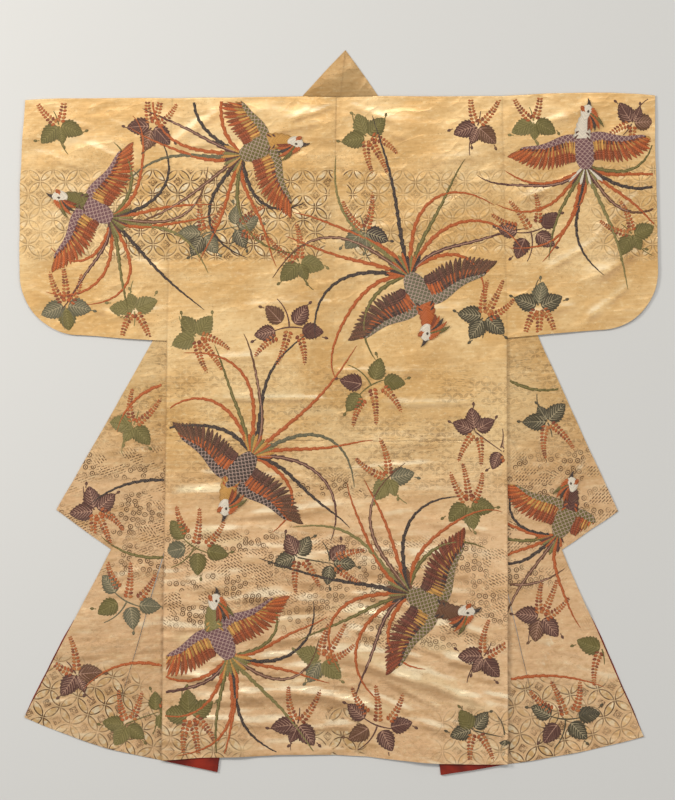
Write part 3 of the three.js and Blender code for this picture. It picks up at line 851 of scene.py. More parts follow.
# ---- node helpers ----
class Tree:
    """Adds and links the nodes of one material or node group."""

    def __init__(self, tree: NodeTree) -> None:
        """Works on a node tree."""
        self.tree = tree

    def node(self, kind: str, links: dict | None = None, **settings: object) -> Node:
        """Adds a node.

        Args:
            kind: node type.
            links: input name or number to a socket to link, or a value to set.
            settings: properties of the node.

        Returns:
            The node.
        """
        node = self.tree.nodes.new(kind)
        for name, value in settings.items():
            setattr(node, name, value)
        for name, value in (links or {}).items():
            self.feed(node.inputs[name], value)
        return node

    def feed(self, socket: Socket, value: object) -> None:
        """Links a socket to an input, or sets the input's own value.

        Args:
            socket: input that is fed.
            value: socket to link, or value to set.
        """
        if isinstance(value, Socket):
            self.tree.links.new(value, socket)
        else:
            socket.default_value = value

    def math(self, operation: str, *values: object, clamp: bool = False) -> Socket:
        """Result of a Math node."""
        node = self.node("ShaderNodeMath", dict(enumerate(values)), operation=operation, use_clamp=clamp)
        return node.outputs[0]

    def vector(self, operation: str, *values: object) -> Socket:
        """Vector result of a Vector Math node."""
        return self.node("ShaderNodeVectorMath", dict(enumerate(values)), operation=operation).outputs[0]

    def length(self, vector: object) -> Socket:
        """Length of a vector."""
        return self.node("ShaderNodeVectorMath", {0: vector}, operation="LENGTH").outputs["Value"]

    def ease(self, value: object, low: float, high: float) -> Socket:
        """Value eased from 0 at low to 1 at high."""
        links = {"Value": value, "From Min": low, "From Max": high}
        return self.node("ShaderNodeMapRange", links, interpolation_type="SMOOTHSTEP").outputs["Result"]

    def blend(self, share: object, start: object, end: object, kind: str = "MIX") -> Socket:
        """Colour blended by a share."""
        links = {0: share, 6: start, 7: end}
        return self.node("ShaderNodeMix", links, data_type="RGBA", blend_type=kind).outputs[2]

    def attribute(self, name: str, output: str = "Fac") -> Socket:
        """Value kept on a piece's points."""
        return self.node("ShaderNodeAttribute", attribute_name=name).outputs[output]

    def noise(self, place: object, scale: float, detail: float = 3, rough: float = 0.55) -> Socket:
        """Noise value at a place."""
        links = {"Vector": place, "Scale": scale, "Detail": detail, "Roughness": rough}
        return self.node("ShaderNodeTexNoise", links).outputs["Fac"]

    def grain(self, place: object, along: float, across: float, turn: float = 0, detail: float = 3,
              rough: float = 0.55) -> Socket:
        """Noise of patches drawn out along a direction.

        Args:
            place: where it is read.
            along, across: sizes of the patches, in mm.
            turn: their direction, in degrees.
            detail, rough: settings of the noise.

        Returns:
            The noise.
        """
        sizes = (along * MM, across * MM, across * MM)
        links = {"Vector": place, "Scale": sizes, "Rotation": (0, 0, math.radians(turn))}
        drawn_out = self.node("ShaderNodeMapping", links, vector_type="TEXTURE").outputs["Vector"]
        return self.noise(drawn_out, 1.0, detail, rough)

    def total(self, *parts: tuple[object, float]) -> Socket:
        """Sum of values, each with its factor.

        Args:
            parts: each value and its factor.

        Returns:
            The sum.
        """
        result = 0.0
        for value, factor in parts:
            result = self.math("MULTIPLY_ADD", value, factor, result)
        return result

    def group(self, shared: NodeTree, **links: object) -> Sequence[Socket]:
        """Places a shared group and gives its outputs."""
        return self.node("ShaderNodeGroup", links, node_tree=shared).outputs

    def split(self, vector: object) -> Sequence[Socket]:
        """Parts of a vector."""
        return self.node("ShaderNodeSeparateXYZ", {0: vector}).outputs

    def apart(self, value: object, other: object) -> Socket:
        """How far two values are apart."""
        return self.math("ABSOLUTE", self.math("SUBTRACT", value, other))

    def hypot(self, x: object, y: object) -> Socket:
        """Length of a vector in the plane, from its parts."""
        return self.math("SQRT", self.math("ADD", self.product(x, x), self.product(y, y)))

    def map(self, name: str) -> Socket:
        """Place on a UV map, in metres."""
        return self.node("ShaderNodeUVMap", uv_map=name).outputs[0]

    def body(self) -> Socket:
        """Place on the robe, in metres."""
        return self.node("ShaderNodeTexCoord").outputs["Object"]

    def bump(self, shader: Node, strength: float, distance: float, height: object) -> None:
        """Raises a shader's surface by a height."""
        node = self.node("ShaderNodeBump", {"Strength": strength, "Distance": distance, "Height": height})
        self.feed(shader.inputs["Normal"], node.outputs[0])

    def put_out(self, **values: object) -> NodeTree:
        """Ends a group.

        Args:
            values: what it puts out, by name.

        Returns:
            The group.
        """
        for name in values:
            self.tree.interface.new_socket(name, in_out="OUTPUT", socket_type=FLOAT)
        self.node("NodeGroupOutput", values)
        return self.tree

    def line(self, value: object, factor: float, offset: float) -> Socket:
        """Value times a factor, and an offset."""
        return self.math("MULTIPLY_ADD", value, factor, offset)

    def product(self, *values: object) -> Socket:
        """Product of values.

        Args:
            values: sockets or numbers.

        Returns:
            The product.
        """
        result = values[0]
        for value in values[1:]:
            result = self.math("MULTIPLY", result, value)
        return result


VECTOR, FLOAT = "NodeSocketVector", "NodeSocketFloat"


def new_group(name: str, **inputs: str) -> tuple[Tree, dict[str, Socket]]:
    """Starts a shader node group.

    Args:
        name: name of the group.
        inputs: socket type of each input, by its name.

    Returns:
        The tree and its input sockets by name.
    """
    group = bpy.data.node_groups.new(name, "ShaderNodeTree")
    for socket_name, kind in inputs.items():
        group.interface.new_socket(socket_name, in_out="INPUT", socket_type=kind)
    tree = Tree(group)
    return tree, {s.name: s for s in tree.node("NodeGroupInput").outputs if s.name}


def circles_group() -> NodeTree:
    """Linked circles of gold leaf: outlined petals where they cross, small lozenges between.

    Returns:
        The group.
    """
    tree, given = new_group("linked_circles", Place=VECTOR, Radius=FLOAT)
    place, radius = tree.split(given["Place"]), given["Radius"]
    below = tree.math("MULTIPLY", radius, -1.0)
    reaches, lozenges = [], []
    for offset in (0.0, 1.0):
        shift = tree.math("MULTIPLY", radius, offset)
        shifted = [tree.math("ADD", place[k], shift) for k in (0, 1)]
        x, y = (tree.math("ABSOLUTE", tree.math("WRAP", value, radius, below)) for value in shifted)
        reaches.append(tree.hypot(x, y))
        lozenges.append(tree.math("ADD", x, y))
    inner = tree.math("SUBTRACT", radius, tree.math("MAXIMUM", *reaches))
    petal = tree.ease(inner, 2.8 * MM, 3.8 * MM)
    gaps = [tree.apart(reach, radius) for reach in reaches]
    lozenge = tree.math("MINIMUM", *lozenges)
    body = tree.ease(lozenge, 12.4 * MM, 10.6 * MM)
    eye = tree.ease(lozenge, 2.0 * MM, 3.6 * MM)
    ring = tree.ease(tree.apart(lozenge, 6.6 * MM), 0.2 * MM, 1.3 * MM)
    return tree.put_out(
        Outline=tree.math("SUBTRACT", tree.ease(inner, 0.0, 0.8 * MM), petal),
        Petal=petal,
        Line=tree.ease(tree.math("MINIMUM", *gaps), 1.4 * MM, 0.5 * MM),
        Lozenge=tree.product(body, eye, tree.line(ring, 0.6, 0.4)),
    )


def cells(tree: Tree, place: object, size: object, scatter: float) -> tuple[Socket, Sequence[Socket]]:
    """Scatters cells over the cloth.

    Args:
        tree: group that they are made in.
        place: where they are read.
        size: size of a cell, in metres.
        scatter: how far they stray from a grid.

    Returns:
        Place from the middle of the nearest cell, and that cell's random draws.
    """
    sizes = tree.node("ShaderNodeCombineXYZ", {0: size, 1: size, 2: size}).outputs[0]
    scaled = tree.vector("MULTIPLY", tree.vector("DIVIDE", place, sizes), (1.0, 1.0, 0.0))
    links = {"Vector": scaled, "Scale": 1.0, "Randomness": scatter}
    nearest = tree.node("ShaderNodeTexVoronoi", links, voronoi_dimensions="2D").outputs
    away = tree.vector("MULTIPLY", tree.vector("SUBTRACT", scaled, nearest["Position"]), sizes)
    return away, tree.node("ShaderNodeSeparateColor", {0: nearest["Color"]}).outputs


def clouds_group() -> NodeTree:
    """Scattered small dotted rings, and slanting strokes in rows, of gold leaf.

    Returns:
        The group.
    """
    tree, given = new_group("rings_and_strokes", Place=VECTOR, RingCell=FLOAT, StrokeCell=FLOAT)
    away, draw = cells(tree, given["Place"], given["RingCell"], 0.7)
    reach = tree.length(away)
    edge = tree.ease(tree.apart(reach, 4.8 * MM), 1.7 * MM, 0.6 * MM)
    dotted = tree.math("MAXIMUM", edge, tree.ease(reach, 2.4 * MM, 1.2 * MM))
    ring = tree.product(dotted, tree.math("LESS_THAN", draw[0], 0.72))
    ringed = tree.ease(tree.grain(given["Place"], 110, 70, 0, 1), 0.46, 0.52)
    away, draw = cells(tree, given["Place"], given["StrokeCell"], 0.9)
    slant = tree.line(tree.math("GREATER_THAN", draw[1], 0.75), 1.3, -0.62)
    turned = tree.node("ShaderNodeVectorRotate", {"Vector": away, "Angle": slant}, rotation_type="Z_AXIS")
    axes = tree.split(turned.outputs[0])
    row = tree.math("DIVIDE", axes[1], 5.4 * MM)
    across = tree.ease(tree.math("PINGPONG", row, 0.5), 0.27, 0.14)
    step = tree.math("MULTIPLY_ADD", tree.math("ROUND", row), 0.45, tree.math("DIVIDE", axes[0], 10.5 * MM))
    along = tree.ease(tree.math("PINGPONG", step, 0.5), 0.40, 0.32)
    oblong = tree.length(tree.vector("MULTIPLY", away, (0.72, 1.25, 0.0)))
    near = tree.product(tree.ease(oblong, 19.0 * MM, 16.0 * MM), tree.math("GREATER_THAN", draw[0], 0.14))
    unringed = tree.line(ringed, -0.6, 1.0)
    return tree.put_out(Ring=tree.product(ring, ringed), Stroke=tree.product(across, along, near, unringed))


def satin_group() -> NodeTree:
    """Satin ground: rumples, crinkles and weave as one height in mm, with slubs, specks, mottle and thin
    shine streaks for painted highlight.

    Returns:
        The group.
    """
    tree, given = new_group("satin_ground", Place=VECTOR, Slant=FLOAT, Low=FLOAT)
    place, slant, low = given["Place"], given["Slant"], given["Low"]
    flat = tree.math("SUBTRACT", tree.line(low, 1.3, 1.0), slant)
    level = tree.product(tree.grain(place, 105, 30, 3, 2, 0.4), flat)
    slanting = tree.product(tree.grain(place, 110, 28, -20, 2, 0.4), slant)
    swell = tree.product(tree.grain(place, 120, 58, 34, 2, 0.4), tree.line(low, -3.0, 5.6))
    fold = tree.math("MULTIPLY", tree.apart(tree.grain(place, 96, 52, 18, 2), 0.5), 7.0)
    fold = tree.math("POWER", tree.math("SUBTRACT", 1.0, fold, clamp=True), 2.0)
    crinkle = tree.grain(place, 15, 9, 8, 3, 0.5)
    # thin shine streaks, used as a little height and as painted highlight
    shine = tree.ease(tree.grain(place, 88, 5.0, 2, 3, 0.5), 0.52, 0.70)
    weft, warp = tree.grain(place, 46, 2.4, 0, 2), tree.grain(place, 1.6, 18, 0, 2)
    specked = tree.ease(tree.grain(place, 90, 60), 0.42, 0.62)
    return tree.put_out(
        Height=tree.total((level, 2.0), (slanting, 3.9), (swell, 1.0), (fold, 0.50), (crinkle, 0.13),
                          (shine, 0.05), (weft, 0.04), (warp, 0.04)),
        Slub=tree.ease(weft, 0.54, 0.74),
        Speck=tree.product(tree.ease(tree.grain(place, 3.6, 2.8, 0, 2), 0.60, 0.72), specked),
        Mottle=tree.grain(place, 12, 7, 5, 4, 0.6),
        Shine=shine,
    )


def flakes_group() -> NodeTree:
    """Flaked leaf: thin brown cracks and flecks drawn out along the weft.

    Returns:
        The group.
    """
    tree, given = new_group("flaked_leaf", Place=VECTOR)
    place = given["Place"]
    thin = tree.grain(place, 16, 3.0, 0, 4, 0.7)
    where = tree.grain(place, 120, 44, 0, 2)
    contour = tree.apart(tree.grain(place, 70, 9, 0, 3, 0.6), 0.5)
    return tree.put_out(
        Fleck=tree.product(tree.ease(thin, 0.57, 0.67), tree.ease(where, 0.40, 0.60)),
        Crack=tree.product(tree.ease(contour, 0.022, 0.006), tree.ease(thin, 0.44, 0.56)),
    )


def floss_group() -> NodeTree:
    """Silk floss laid side by side: sheen streaks and thread height.

    Returns:
        The group.
    """
    tree, given = new_group("silk_floss", Stitch=VECTOR)
    stitch = tree.split(given["Stitch"])
    slant = tree.math("SUBTRACT", stitch[1], tree.math("ABSOLUTE", stitch[0]))
    links = {"W": tree.math("MULTIPLY", slant, 420.0), "Scale": 1.0, "Detail": 2.0}
    broad = tree.node("ShaderNodeTexNoise", links, noise_dimensions="1D").outputs["Fac"]
    thread = tree.math("SINE", tree.math("MULTIPLY", slant, 6600.0))
    return tree.put_out(Streak=broad, Height=tree.total((thread, 0.25), (broad, 0.6)))


def scales_group() -> NodeTree:
    """Net of overlapping scales, as on a bird's back.

    Returns:
        The group.
    """
    tree, given = new_group("scale_net", Stitch=VECTOR, Size=FLOAT)
    stitch = tree.split(given["Stitch"])
    x, y = (tree.math("DIVIDE", stitch[k], given["Size"]) for k in (0, 1))
    rows = tree.math("MULTIPLY", y, 2.0)
    across = tree.math("WRAP", tree.math("MULTIPLY_ADD", tree.math("FLOOR", rows), 0.5, x), 0.5, -0.5)
    up = tree.math("MULTIPLY", tree.math("FRACT", rows), 0.5)
    return tree.put_out(Edge=tree.ease(tree.apart(tree.hypot(across, up), 0.46), 0.085, 0.035))


# ---- finishes ----
def principled(name: str, **constants: object) -> tuple[Material, Tree, Node]:
    """Starts a material with its Principled shader.

    Args:
        name: name of the material.
        constants: values for the shader's own sockets, by name with _ for a space.

    Returns:
        The material, its tree and its shader.
    """
    material = bpy.data.materials.new(name)
    material.use_nodes = True
    material.node_tree.nodes.clear()
    tree = Tree(material.node_tree)
    shader = tree.node("ShaderNodeBsdfPrincipled")
    for socket, value in constants.items():
        shader.inputs[socket.replace("_", " ")].default_value = value
    out = tree.node("ShaderNodeOutputMaterial")
    tree.feed(out.inputs["Surface"], shader.outputs[0])
    return material, tree, shader


@dataclass(frozen=True)
class GoldSatin:
    """Aged gold satin with worn leaf patterns, painted highlights and painted shade."""

    ground: Colour = (0.720, 0.430, 0.155)
    pale: Colour = (0.880, 0.610, 0.290)
    rosy: Colour = (0.800, 0.505, 0.300)
    warm: Colour = (0.520, 0.285, 0.090)
    brown: Colour = (0.110, 0.050, 0.018)
    bright: Colour = (0.980, 0.780, 0.440)
    leaf: Colour = (0.800, 0.500, 0.170)
    # the next two colours are the painted highlight and the painted shade
    painted_highlight: Colour = (1.000, 0.860, 0.590)
    painted_shade: Colour = (0.430, 0.230, 0.090)
    # colour that the painted shade multiplies in
    deep: Colour = (0.320, 0.260, 0.180)
    phase: tuple[float, float, float] = (24.0 * MM, -19.7 * MM, 0)
    ring_cell: float = 14 * MM
    stroke_cell: float = 31 * MM

    def material(self, name: str, groups: dict[str, NodeTree]) -> Material:
        """Builds the material.

        Args:
            name: name of the material.
            groups: the shared node groups by name.

        Returns:
            The material.
        """
        material, tree, shader = principled(
            name, Sheen_Weight=0.05, Sheen_Roughness=0.4, Specular_IOR_Level=0.5)
        cut, body = tree.map("cut"), tree.body()
        on_circles, on_clouds, on_worn, streaks, seams = (
            tree.attribute(mask) for mask in ("circles", "clouds", "worn", "streaks", "seams"))
        slant, lower, shade, creased, painted_fold_light = (
            tree.attribute(mask) for mask in ("slant", "lower", "shade", "creased", "painted_fold_light"))

        shifted = tree.vector("ADD", cut, self.phase)
        radius = tree.line(lower, 4.0 * MM, 27.6 * MM)
        circles = tree.group(groups["circles"], Place=shifted, Radius=radius)
        scallops = tree.group(groups["circles"], Place=cut, Radius=12.5 * MM)
        clouds = tree.group(groups["clouds"], Place=cut, RingCell=self.ring_cell, StrokeCell=self.stroke_cell)
        satin = tree.group(groups["satin"], Place=body, Slant=slant, Low=lower)
        flakes = tree.group(groups["flakes"], Place=body)

        rub = tree.ease(tree.noise(body, 48.0, 4, 0.62), 0.34, 0.54)
        kept = tree.product(on_circles, tree.line(rub, 0.75, 0.25))
        # painted light: how the folds lean to the light, with some drift
        drift = tree.total((tree.grain(body, 40, 12, -4, 2), 0.5), (painted_fold_light, 1.0), (1.0, -0.25))
        petal = tree.product(circles["Petal"], kept)
        ink = tree.product(circles["Outline"], kept)
        grit = tree.ease(tree.noise(cut, 330.0, 2), 0.34, 0.54)
        marks = tree.product(tree.math("MAXIMUM", clouds["Ring"], clouds["Stroke"]), on_clouds,
                             tree.line(rub, 0.45, 0.55))
        worn = tree.product(on_worn, tree.math("ADD", flakes["Fleck"], flakes["Crack"], clamp=True))
        faint = tree.product(scallops["Outline"], on_worn, tree.ease(tree.grain(body, 40, 15), 0.42, 0.56))
        # dark line along the sharp crease across the back: painted shade, with the surface bumped down
        crease = tree.total((tree.noise(body, 14.0), 5 * MM), (tree.split(body)[1], 1.0),
                            (1.0, -CROSS_CREASE - 2.5 * MM))
        crease = tree.product(creased, tree.ease(tree.math("ABSOLUTE", crease), 2.0 * MM, 0.4 * MM))

        faded = tree.ease(tree.noise(body, 4.2, 3), 0.38, 0.66)
        colour = tree.blend(faded, (*self.ground, 1), (*self.pale, 1))
        for share, strength, other in (
            (lower, 0.62, self.rosy),
            (tree.ease(tree.grain(body, 150, 38), 0.50, 0.74), 0.42, self.warm),
            (tree.ease(satin["Mottle"], 0.50, 0.68), 0.34, self.warm),
            (tree.ease(satin["Mottle"], 0.46, 0.30), 0.36, self.bright),
            (satin["Slub"], 0.12, self.bright),
            # painted highlight along the thin shine streaks
            (satin["Shine"], 0.16, self.bright),
            # painted highlight and painted shade on the folds
            (tree.ease(drift, 0.55, 1.0), 0.66, self.painted_highlight),
            (tree.ease(drift, 0.45, 0.0), 0.60, self.painted_shade),
            (kept, 0.25, self.warm),
            (tree.product(circles["Line"], kept), 0.45, self.bright),
            (petal, 0.50, self.leaf),
            # painted highlight glinting in the kept petals
            (tree.product(petal, tree.ease(tree.noise(body, 75.0, 3), 0.44, 0.60)), 0.75, self.painted_highlight),
            # painted highlight along the streaks
            (streaks, 0.55, self.bright),
            (ink, 0.96, self.brown),
            (tree.product(circles["Lozenge"], kept, grit), 0.95, self.brown),
            (marks, 0.94, self.brown),
            (worn, 0.55, self.brown),
            (faint, 0.34, self.brown),
            (satin["Speck"], 0.42, self.brown),
            # dark seam lines, and painted shadow along the back's side edge
            (seams, 0.50, self.brown),
            # painted shade in the crease
            (crease, 0.40, self.brown),
        ):
            colour = tree.blend(tree.math("MULTIPLY", share, strength), colour, (*other, 1))
        # painted shade: the gold darkened where the shade mask is set
        colour = tree.blend(tree.math("MULTIPLY", shade, 0.60), colour, (*self.deep, 1), "MULTIPLY")
        tree.feed(shader.inputs["Base Color"], colour)
        rough = tree.total((tree.noise(body, 60.0, 3), 0.22), (streaks, -0.10), (petal, -0.08),
                           (painted_fold_light, -0.08), (0.34, 1.0))
        tree.feed(shader.inputs["Roughness"], rough)
        tree.feed(shader.inputs["Metallic"], tree.total((petal, 0.20), (0.33, 1.0)))
        raised = tree.total((satin["Height"], 1.0), (petal, 0.25), (ink, -0.12), (crease, -0.5))
        tree.bump(shader, 1.0, MM, raised)
        return material


@dataclass(frozen=True)
class ShadedEdge:
    """Silk of the cut and folded edges, darkened as painted shade, lighter where rubbed."""

    ground: Colour = (0.330, 0.185, 0.070)
    rubbed: Colour = (0.560, 0.350, 0.150)

    def material(self, name: str) -> Material:
        """Builds the material.

        Args:
            name: name of the material.

        Returns:
            The material.
        """
        material, tree, shader = principled(name, Roughness=0.75, Specular_IOR_Level=0.2)
        tone = tree.ease(tree.noise(tree.body(), 90.0, 3), 0.40, 0.66)
        tree.feed(shader.inputs["Base Color"], tree.blend(tone, (*self.ground, 1), (*self.rubbed, 1)))
        return material


@dataclass(frozen=True)
class RedSilk:
    """Plain red lining silk, darker where it is rubbed."""

    ground: Colour = (0.270, 0.020, 0.006)
    deep: Colour = (0.120, 0.009, 0.004)

    def material(self, name: str, groups: dict[str, NodeTree]) -> Material:
        """Builds the material from its name and the shared node groups.

        Args:
            name: name of the material.
            groups: the shared node groups.

        Returns:
            The material.
        """
        material, tree, shader = principled(name, Specular_IOR_Level=0.25)
        body = tree.body()
        satin = tree.group(groups["satin"], Place=body, Slant=0.0, Low=0.0)
        tone = tree.ease(tree.noise(body, 18.0, 4), 0.35, 0.68)
        tree.feed(shader.inputs["Base Color"], tree.blend(tone, (*self.deep, 1), (*self.ground, 1)))
        tree.feed(shader.inputs["Roughness"], tree.line(tone, 0.12, 0.50))
        tree.bump(shader, 0.6, MM, satin["Height"])
        return material


@dataclass(frozen=True)
class Floss:
    """Silk floss embroidery, coloured by the tint kept on its points."""

    net_line: Colour = (0.50, 0.34, 0.27)
    shadow: Colour = (0.015, 0.008, 0.006)
    sheen: Colour = (0.80, 0.55, 0.30)
    rubbed: Colour = (0.66, 0.45, 0.24)
    net_size: float = 11.0 * MM

    def material(self, name: str, groups: dict[str, NodeTree]) -> Material:
        """Builds the material from its name and the shared node groups.

        Args:
            name: name of the material.
            groups: the shared node groups.

        Returns:
            The material.
        """
        material, tree, shader = principled(name, Specular_IOR_Level=0.22)
        stitch, tint = tree.map("stitch"), tree.attribute("tint", "Color")
        floss = tree.group(groups["floss"], Stitch=stitch)
        net = tree.group(groups["scales"], Stitch=stitch, Size=self.net_size)
        streak = tree.ease(floss["Streak"], 0.30, 0.70)
        worn = tree.ease(tree.noise(tree.body(), 130.0, 3), 0.60, 0.78)
        netted = tree.math("MULTIPLY", net["Edge"], tree.attribute("net"))
        dark = tree.blend(0.45, tint, (*self.shadow, 1))
        light = tree.blend(0.20, tint, (*self.sheen, 1))
        colour = tree.blend(0.35, tree.blend(streak, dark, light), tint)
        colour = tree.blend(tree.math("MULTIPLY", worn, 0.14), colour, (*self.rubbed, 1))
        colour = tree.blend(tree.math("MULTIPLY", netted, 0.8), colour, (*self.net_line, 1))
        tree.feed(shader.inputs["Base Color"], colour)
        tree.feed(shader.inputs["Roughness"], tree.line(streak, 0.10, 0.46))
        tree.bump(shader, 0.6, 0.5 * MM, floss["Height"])
        return material


@dataclass(frozen=True)
class Finishes:
    """All materials of the robe."""

    gold: Material
    # finish of the edges, darkened as painted shade
    fold: Material
    lining: Material
    floss: Material

    @property
    def silk(self) -> tuple[Material, Material, Material]:
        """Outer face, lining side and edges of the gold silk."""
        return self.gold, self.lining, self.fold

    @property
    def plain(self) -> tuple[Material, Material, Material]:
        """Both faces and the edges of plain lining."""
        return self.lining, self.lining, self.lining


def make_finishes() -> Finishes:
    """Builds the shared node groups and the materials.

    Returns:
        The materials.
    """
    groups = {"circles": circles_group(), "clouds": clouds_group(), "satin": satin_group(),
              "flakes": flakes_group(), "floss": floss_group(), "scales": scales_group()}
    return Finishes(
        gold=GoldSatin().material("gold_satin", groups),
        fold=ShadedEdge().material("shaded_edge"),
        lining=RedSilk().material("red_lining", groups),
        floss=Floss().material("silk_floss", groups),
    )


class Slot(Enum):
    """The record's material slots."""

    GOLD = "gold_satin"
    LINING = "red_lining"


def settle(piece: Piece, slot: Slot, *nodes: str) -> None:
    """Rides a piece on the robe and hides the solids that it stands for.

    Args:
        piece: the finished object.
        slot: material slot of the record; not used.
        nodes: names of the solids that it replaces.
    """
    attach(piece, "root")
    if nodes:
        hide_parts(*nodes)
    log.info("%s: %d faces", piece.name, len(piece.data.polygons))


# ---- body lengths ----
@dataclass
class RobePiece:
    """A piece of cloth on one side of the robe."""

    side: Side
    finishes: Finishes


@dataclass
class BodyLength(RobePiece):
    """One length of silk: back, shoulder, turned front and the wing's front."""

    back_rows: int = 330
    neck_columns: int = 16
    shoulder_columns: int = 62
    wing_columns: int = 32
    arc_steps: int = 6
    leg_rows: tuple[int, int, int] = (52, 6, 104)

    def shares(self) -> Array:
        """Shares across the back, close together at both seams, with one at the neck's corner.

        Returns:
            The shares, from the centre seam to the side seam.
        """
        top = self.side.top_line[:, 0]
        neck_share = (top[1] - top[0]) / (top[2] - top[0])
        width = abs(top[2] - top[0])
        inner = graded(self.neck_columns, width * neck_share)
        outer = graded(self.shoulder_columns, width * (1 - neck_share))
        self.neck_count = len(inner) - 1
        return np.concatenate([inner[:-1] * neck_share, neck_share + outer * (1 - neck_share)])

    def back_place(self, share: Array, up: Array) -> tuple[Array, Array]:
        """Places of the back by share across and share up from the hem.

        Args:
            share: shares across.
            up: shares up.

        Returns:
            The places.
        """
        side = self.side
        inset = side.sign * STITCH
        y = side.side_foot[1] + (side.shoulder_end[1] - side.side_foot[1]) * up
        for _ in range(3):
            centre = x_on(side.back_centre, y) + inset
            x = centre + (x_on(side.side_line, y) - inset - centre) * share
            low, high = y_on(side.back_hem, x), y_on(side.top_line, x)
            y = low + (high - low) * up
        return x, y

    def make(self) -> Piece:
        """Returns:
            The piece.
        """
        side = self.side
        silk = SilkMesh(f"silk_body_{side.name}")
        shares = self.shares()
        rises = graded(self.back_rows, BACK_LENGTH)

        def back(i: Array, j: Array) -> tuple[Array, Array]:
            """Places of the back."""
            x, y = self.back_place(shares[i], rises[j])
            return np.stack([x, y, FORM.back(side, x, y)], -1), FORM.cut_place(x, y)

        silk.patch(len(shares) - 1, len(rises) - 1, back, UP)
        turned_share = shares[self.neck_count:]
        top_x, top_y = self.back_place(turned_share, np.ones_like(turned_share))
        top_z = FORM.back(side, top_x, top_y)
        reach = (top_x - top_x[0]) / (top_x[-1] - top_x[0])

        start = side.neck + np.array([side.sign * NECK_MARGIN, 0])
        seam = shift_line([start, side.knee, side.seam_tip, side.seam_foot], -side.sign * STITCH)
        legs = [mix(seam[k], seam[k + 1], np.linspace(0, 1, rows + 1)[(1 if k else 0):])
                for k, rows in enumerate(self.leg_rows)]
        seam_places = np.concatenate(legs)
        length_share = (side.neck[1] - seam_places[:, 1]) / (side.neck[1] - seam[3][1])
        fold = mix(side.neck, side.fold_foot, length_share)
        outer = along_line(side.side_line[::-1], length_share) - np.array([side.sign * GAP / 2, 0])
        turns = np.linspace(0, math.pi, self.arc_steps + 1)

        def turned(i: Array, j: Array) -> tuple[Array, Array]:
            """Places of the shoulder's fold and then of the turned front.

            Args:
                i, j: column and row numbers.

            Returns:
                Places on the robe and on the flat cloth.
            """
            on_arc = j <= self.arc_steps
            turn = turns[np.minimum(j, self.arc_steps)]
            middle, radius = (top_z[i] + TURNED_LAYER) / 2, (top_z[i] - TURNED_LAYER) / 2
            row = np.maximum(j - self.arc_steps, 0)
            flat = mix(fold[row], outer[row], reach[i])
            x = np.where(row == 0, top_x[i], flat[:, 0])
            y = np.where(row == 0, top_y[i] + radius * np.sin(turn), flat[:, 1])
            z = np.where(on_arc, middle + radius * np.cos(turn), TURNED_LAYER)
            return np.stack([x, y, z], -1), FORM.cut_place(x, y)

        rows = len(seam_places) - 1
        silk.patch(len(reach) - 1, self.arc_steps + rows, turned, DOWN)
        inward = side.sign * np.array([side.fold_run[1], -side.fold_run[0]])
        first = np.concatenate([[[top_x[0], top_y[0]]], fold[1:]])
        steps = np.linspace(0, 1, self.wing_columns + 1)

        def wing(i: Array, j: Array) -> tuple[Array, Array]:
            """Places of the turned fold and then of the wing's front.

            Args:
                i, j: column and row numbers.

            Returns:
                Places on the robe and on the flat cloth.
            """
            turn = turns[np.minimum(i, self.arc_steps)]
            middle, radius = (TURNED_LAYER + FLOOR_LAYER) / 2, (TURNED_LAYER - FLOOR_LAYER) / 2
            flat = mix(first[j], seam_places[j], steps[np.maximum(i - self.arc_steps, 0)])
            x, y = (flat + inward * (radius * np.sin(turn))[:, None]).T
            z = np.where(i < self.arc_steps, middle + radius * np.cos(turn), FORM.wing(side, x, y))
            return np.stack([x, y, z], -1), FORM.turned_cut_place(side, x, y)

        silk.patch(self.arc_steps + self.wing_columns, rows, wing, UP)
        piece = silk.piece(self.finishes.silk, SILK)
        self.dress(piece)
        settle(piece, Slot.GOLD, f"body_{side.name}")
        return piece

    def dress(self, piece: Piece) -> None:
        """Keeps the leaf bands, seams, painted edge shadow and painted shade on the piece's points.

        Args:
            piece: the body length.
        """
        side = self.side
        x, y, z = points_of(piece.data)[0].T
        on_wing = side.out(x, y) > 2 * MM
        low = z < TURNED_LAYER
        to_side = np.abs(side.out(x, y))
        # below the underarm the side seam is darker with painted shadow of the back's edge, and on the wing
        # the side line gets full painted shadow
        side_seam_and_shadow = np.where(y < side.underarm[1], 0.75, 0.35)
        back_seams_and_shadow = seam_mask((np.abs(x - x_on(side.back_centre, y)), 0.28), (to_side, side_seam_and_shadow))
        to_overlap = np.abs(off_line(x, y, side.seam_tip, side.seam_foot))
        wing_seams_and_shadow = seam_mask((to_overlap, 0.35), (to_side, 1.0))
        lying = low | on_wing
        dress_masks(piece.data, lying, np.where(low, wing_seams_and_shadow, back_seams_and_shadow), np.where(lying, WING_SHADE, 0))


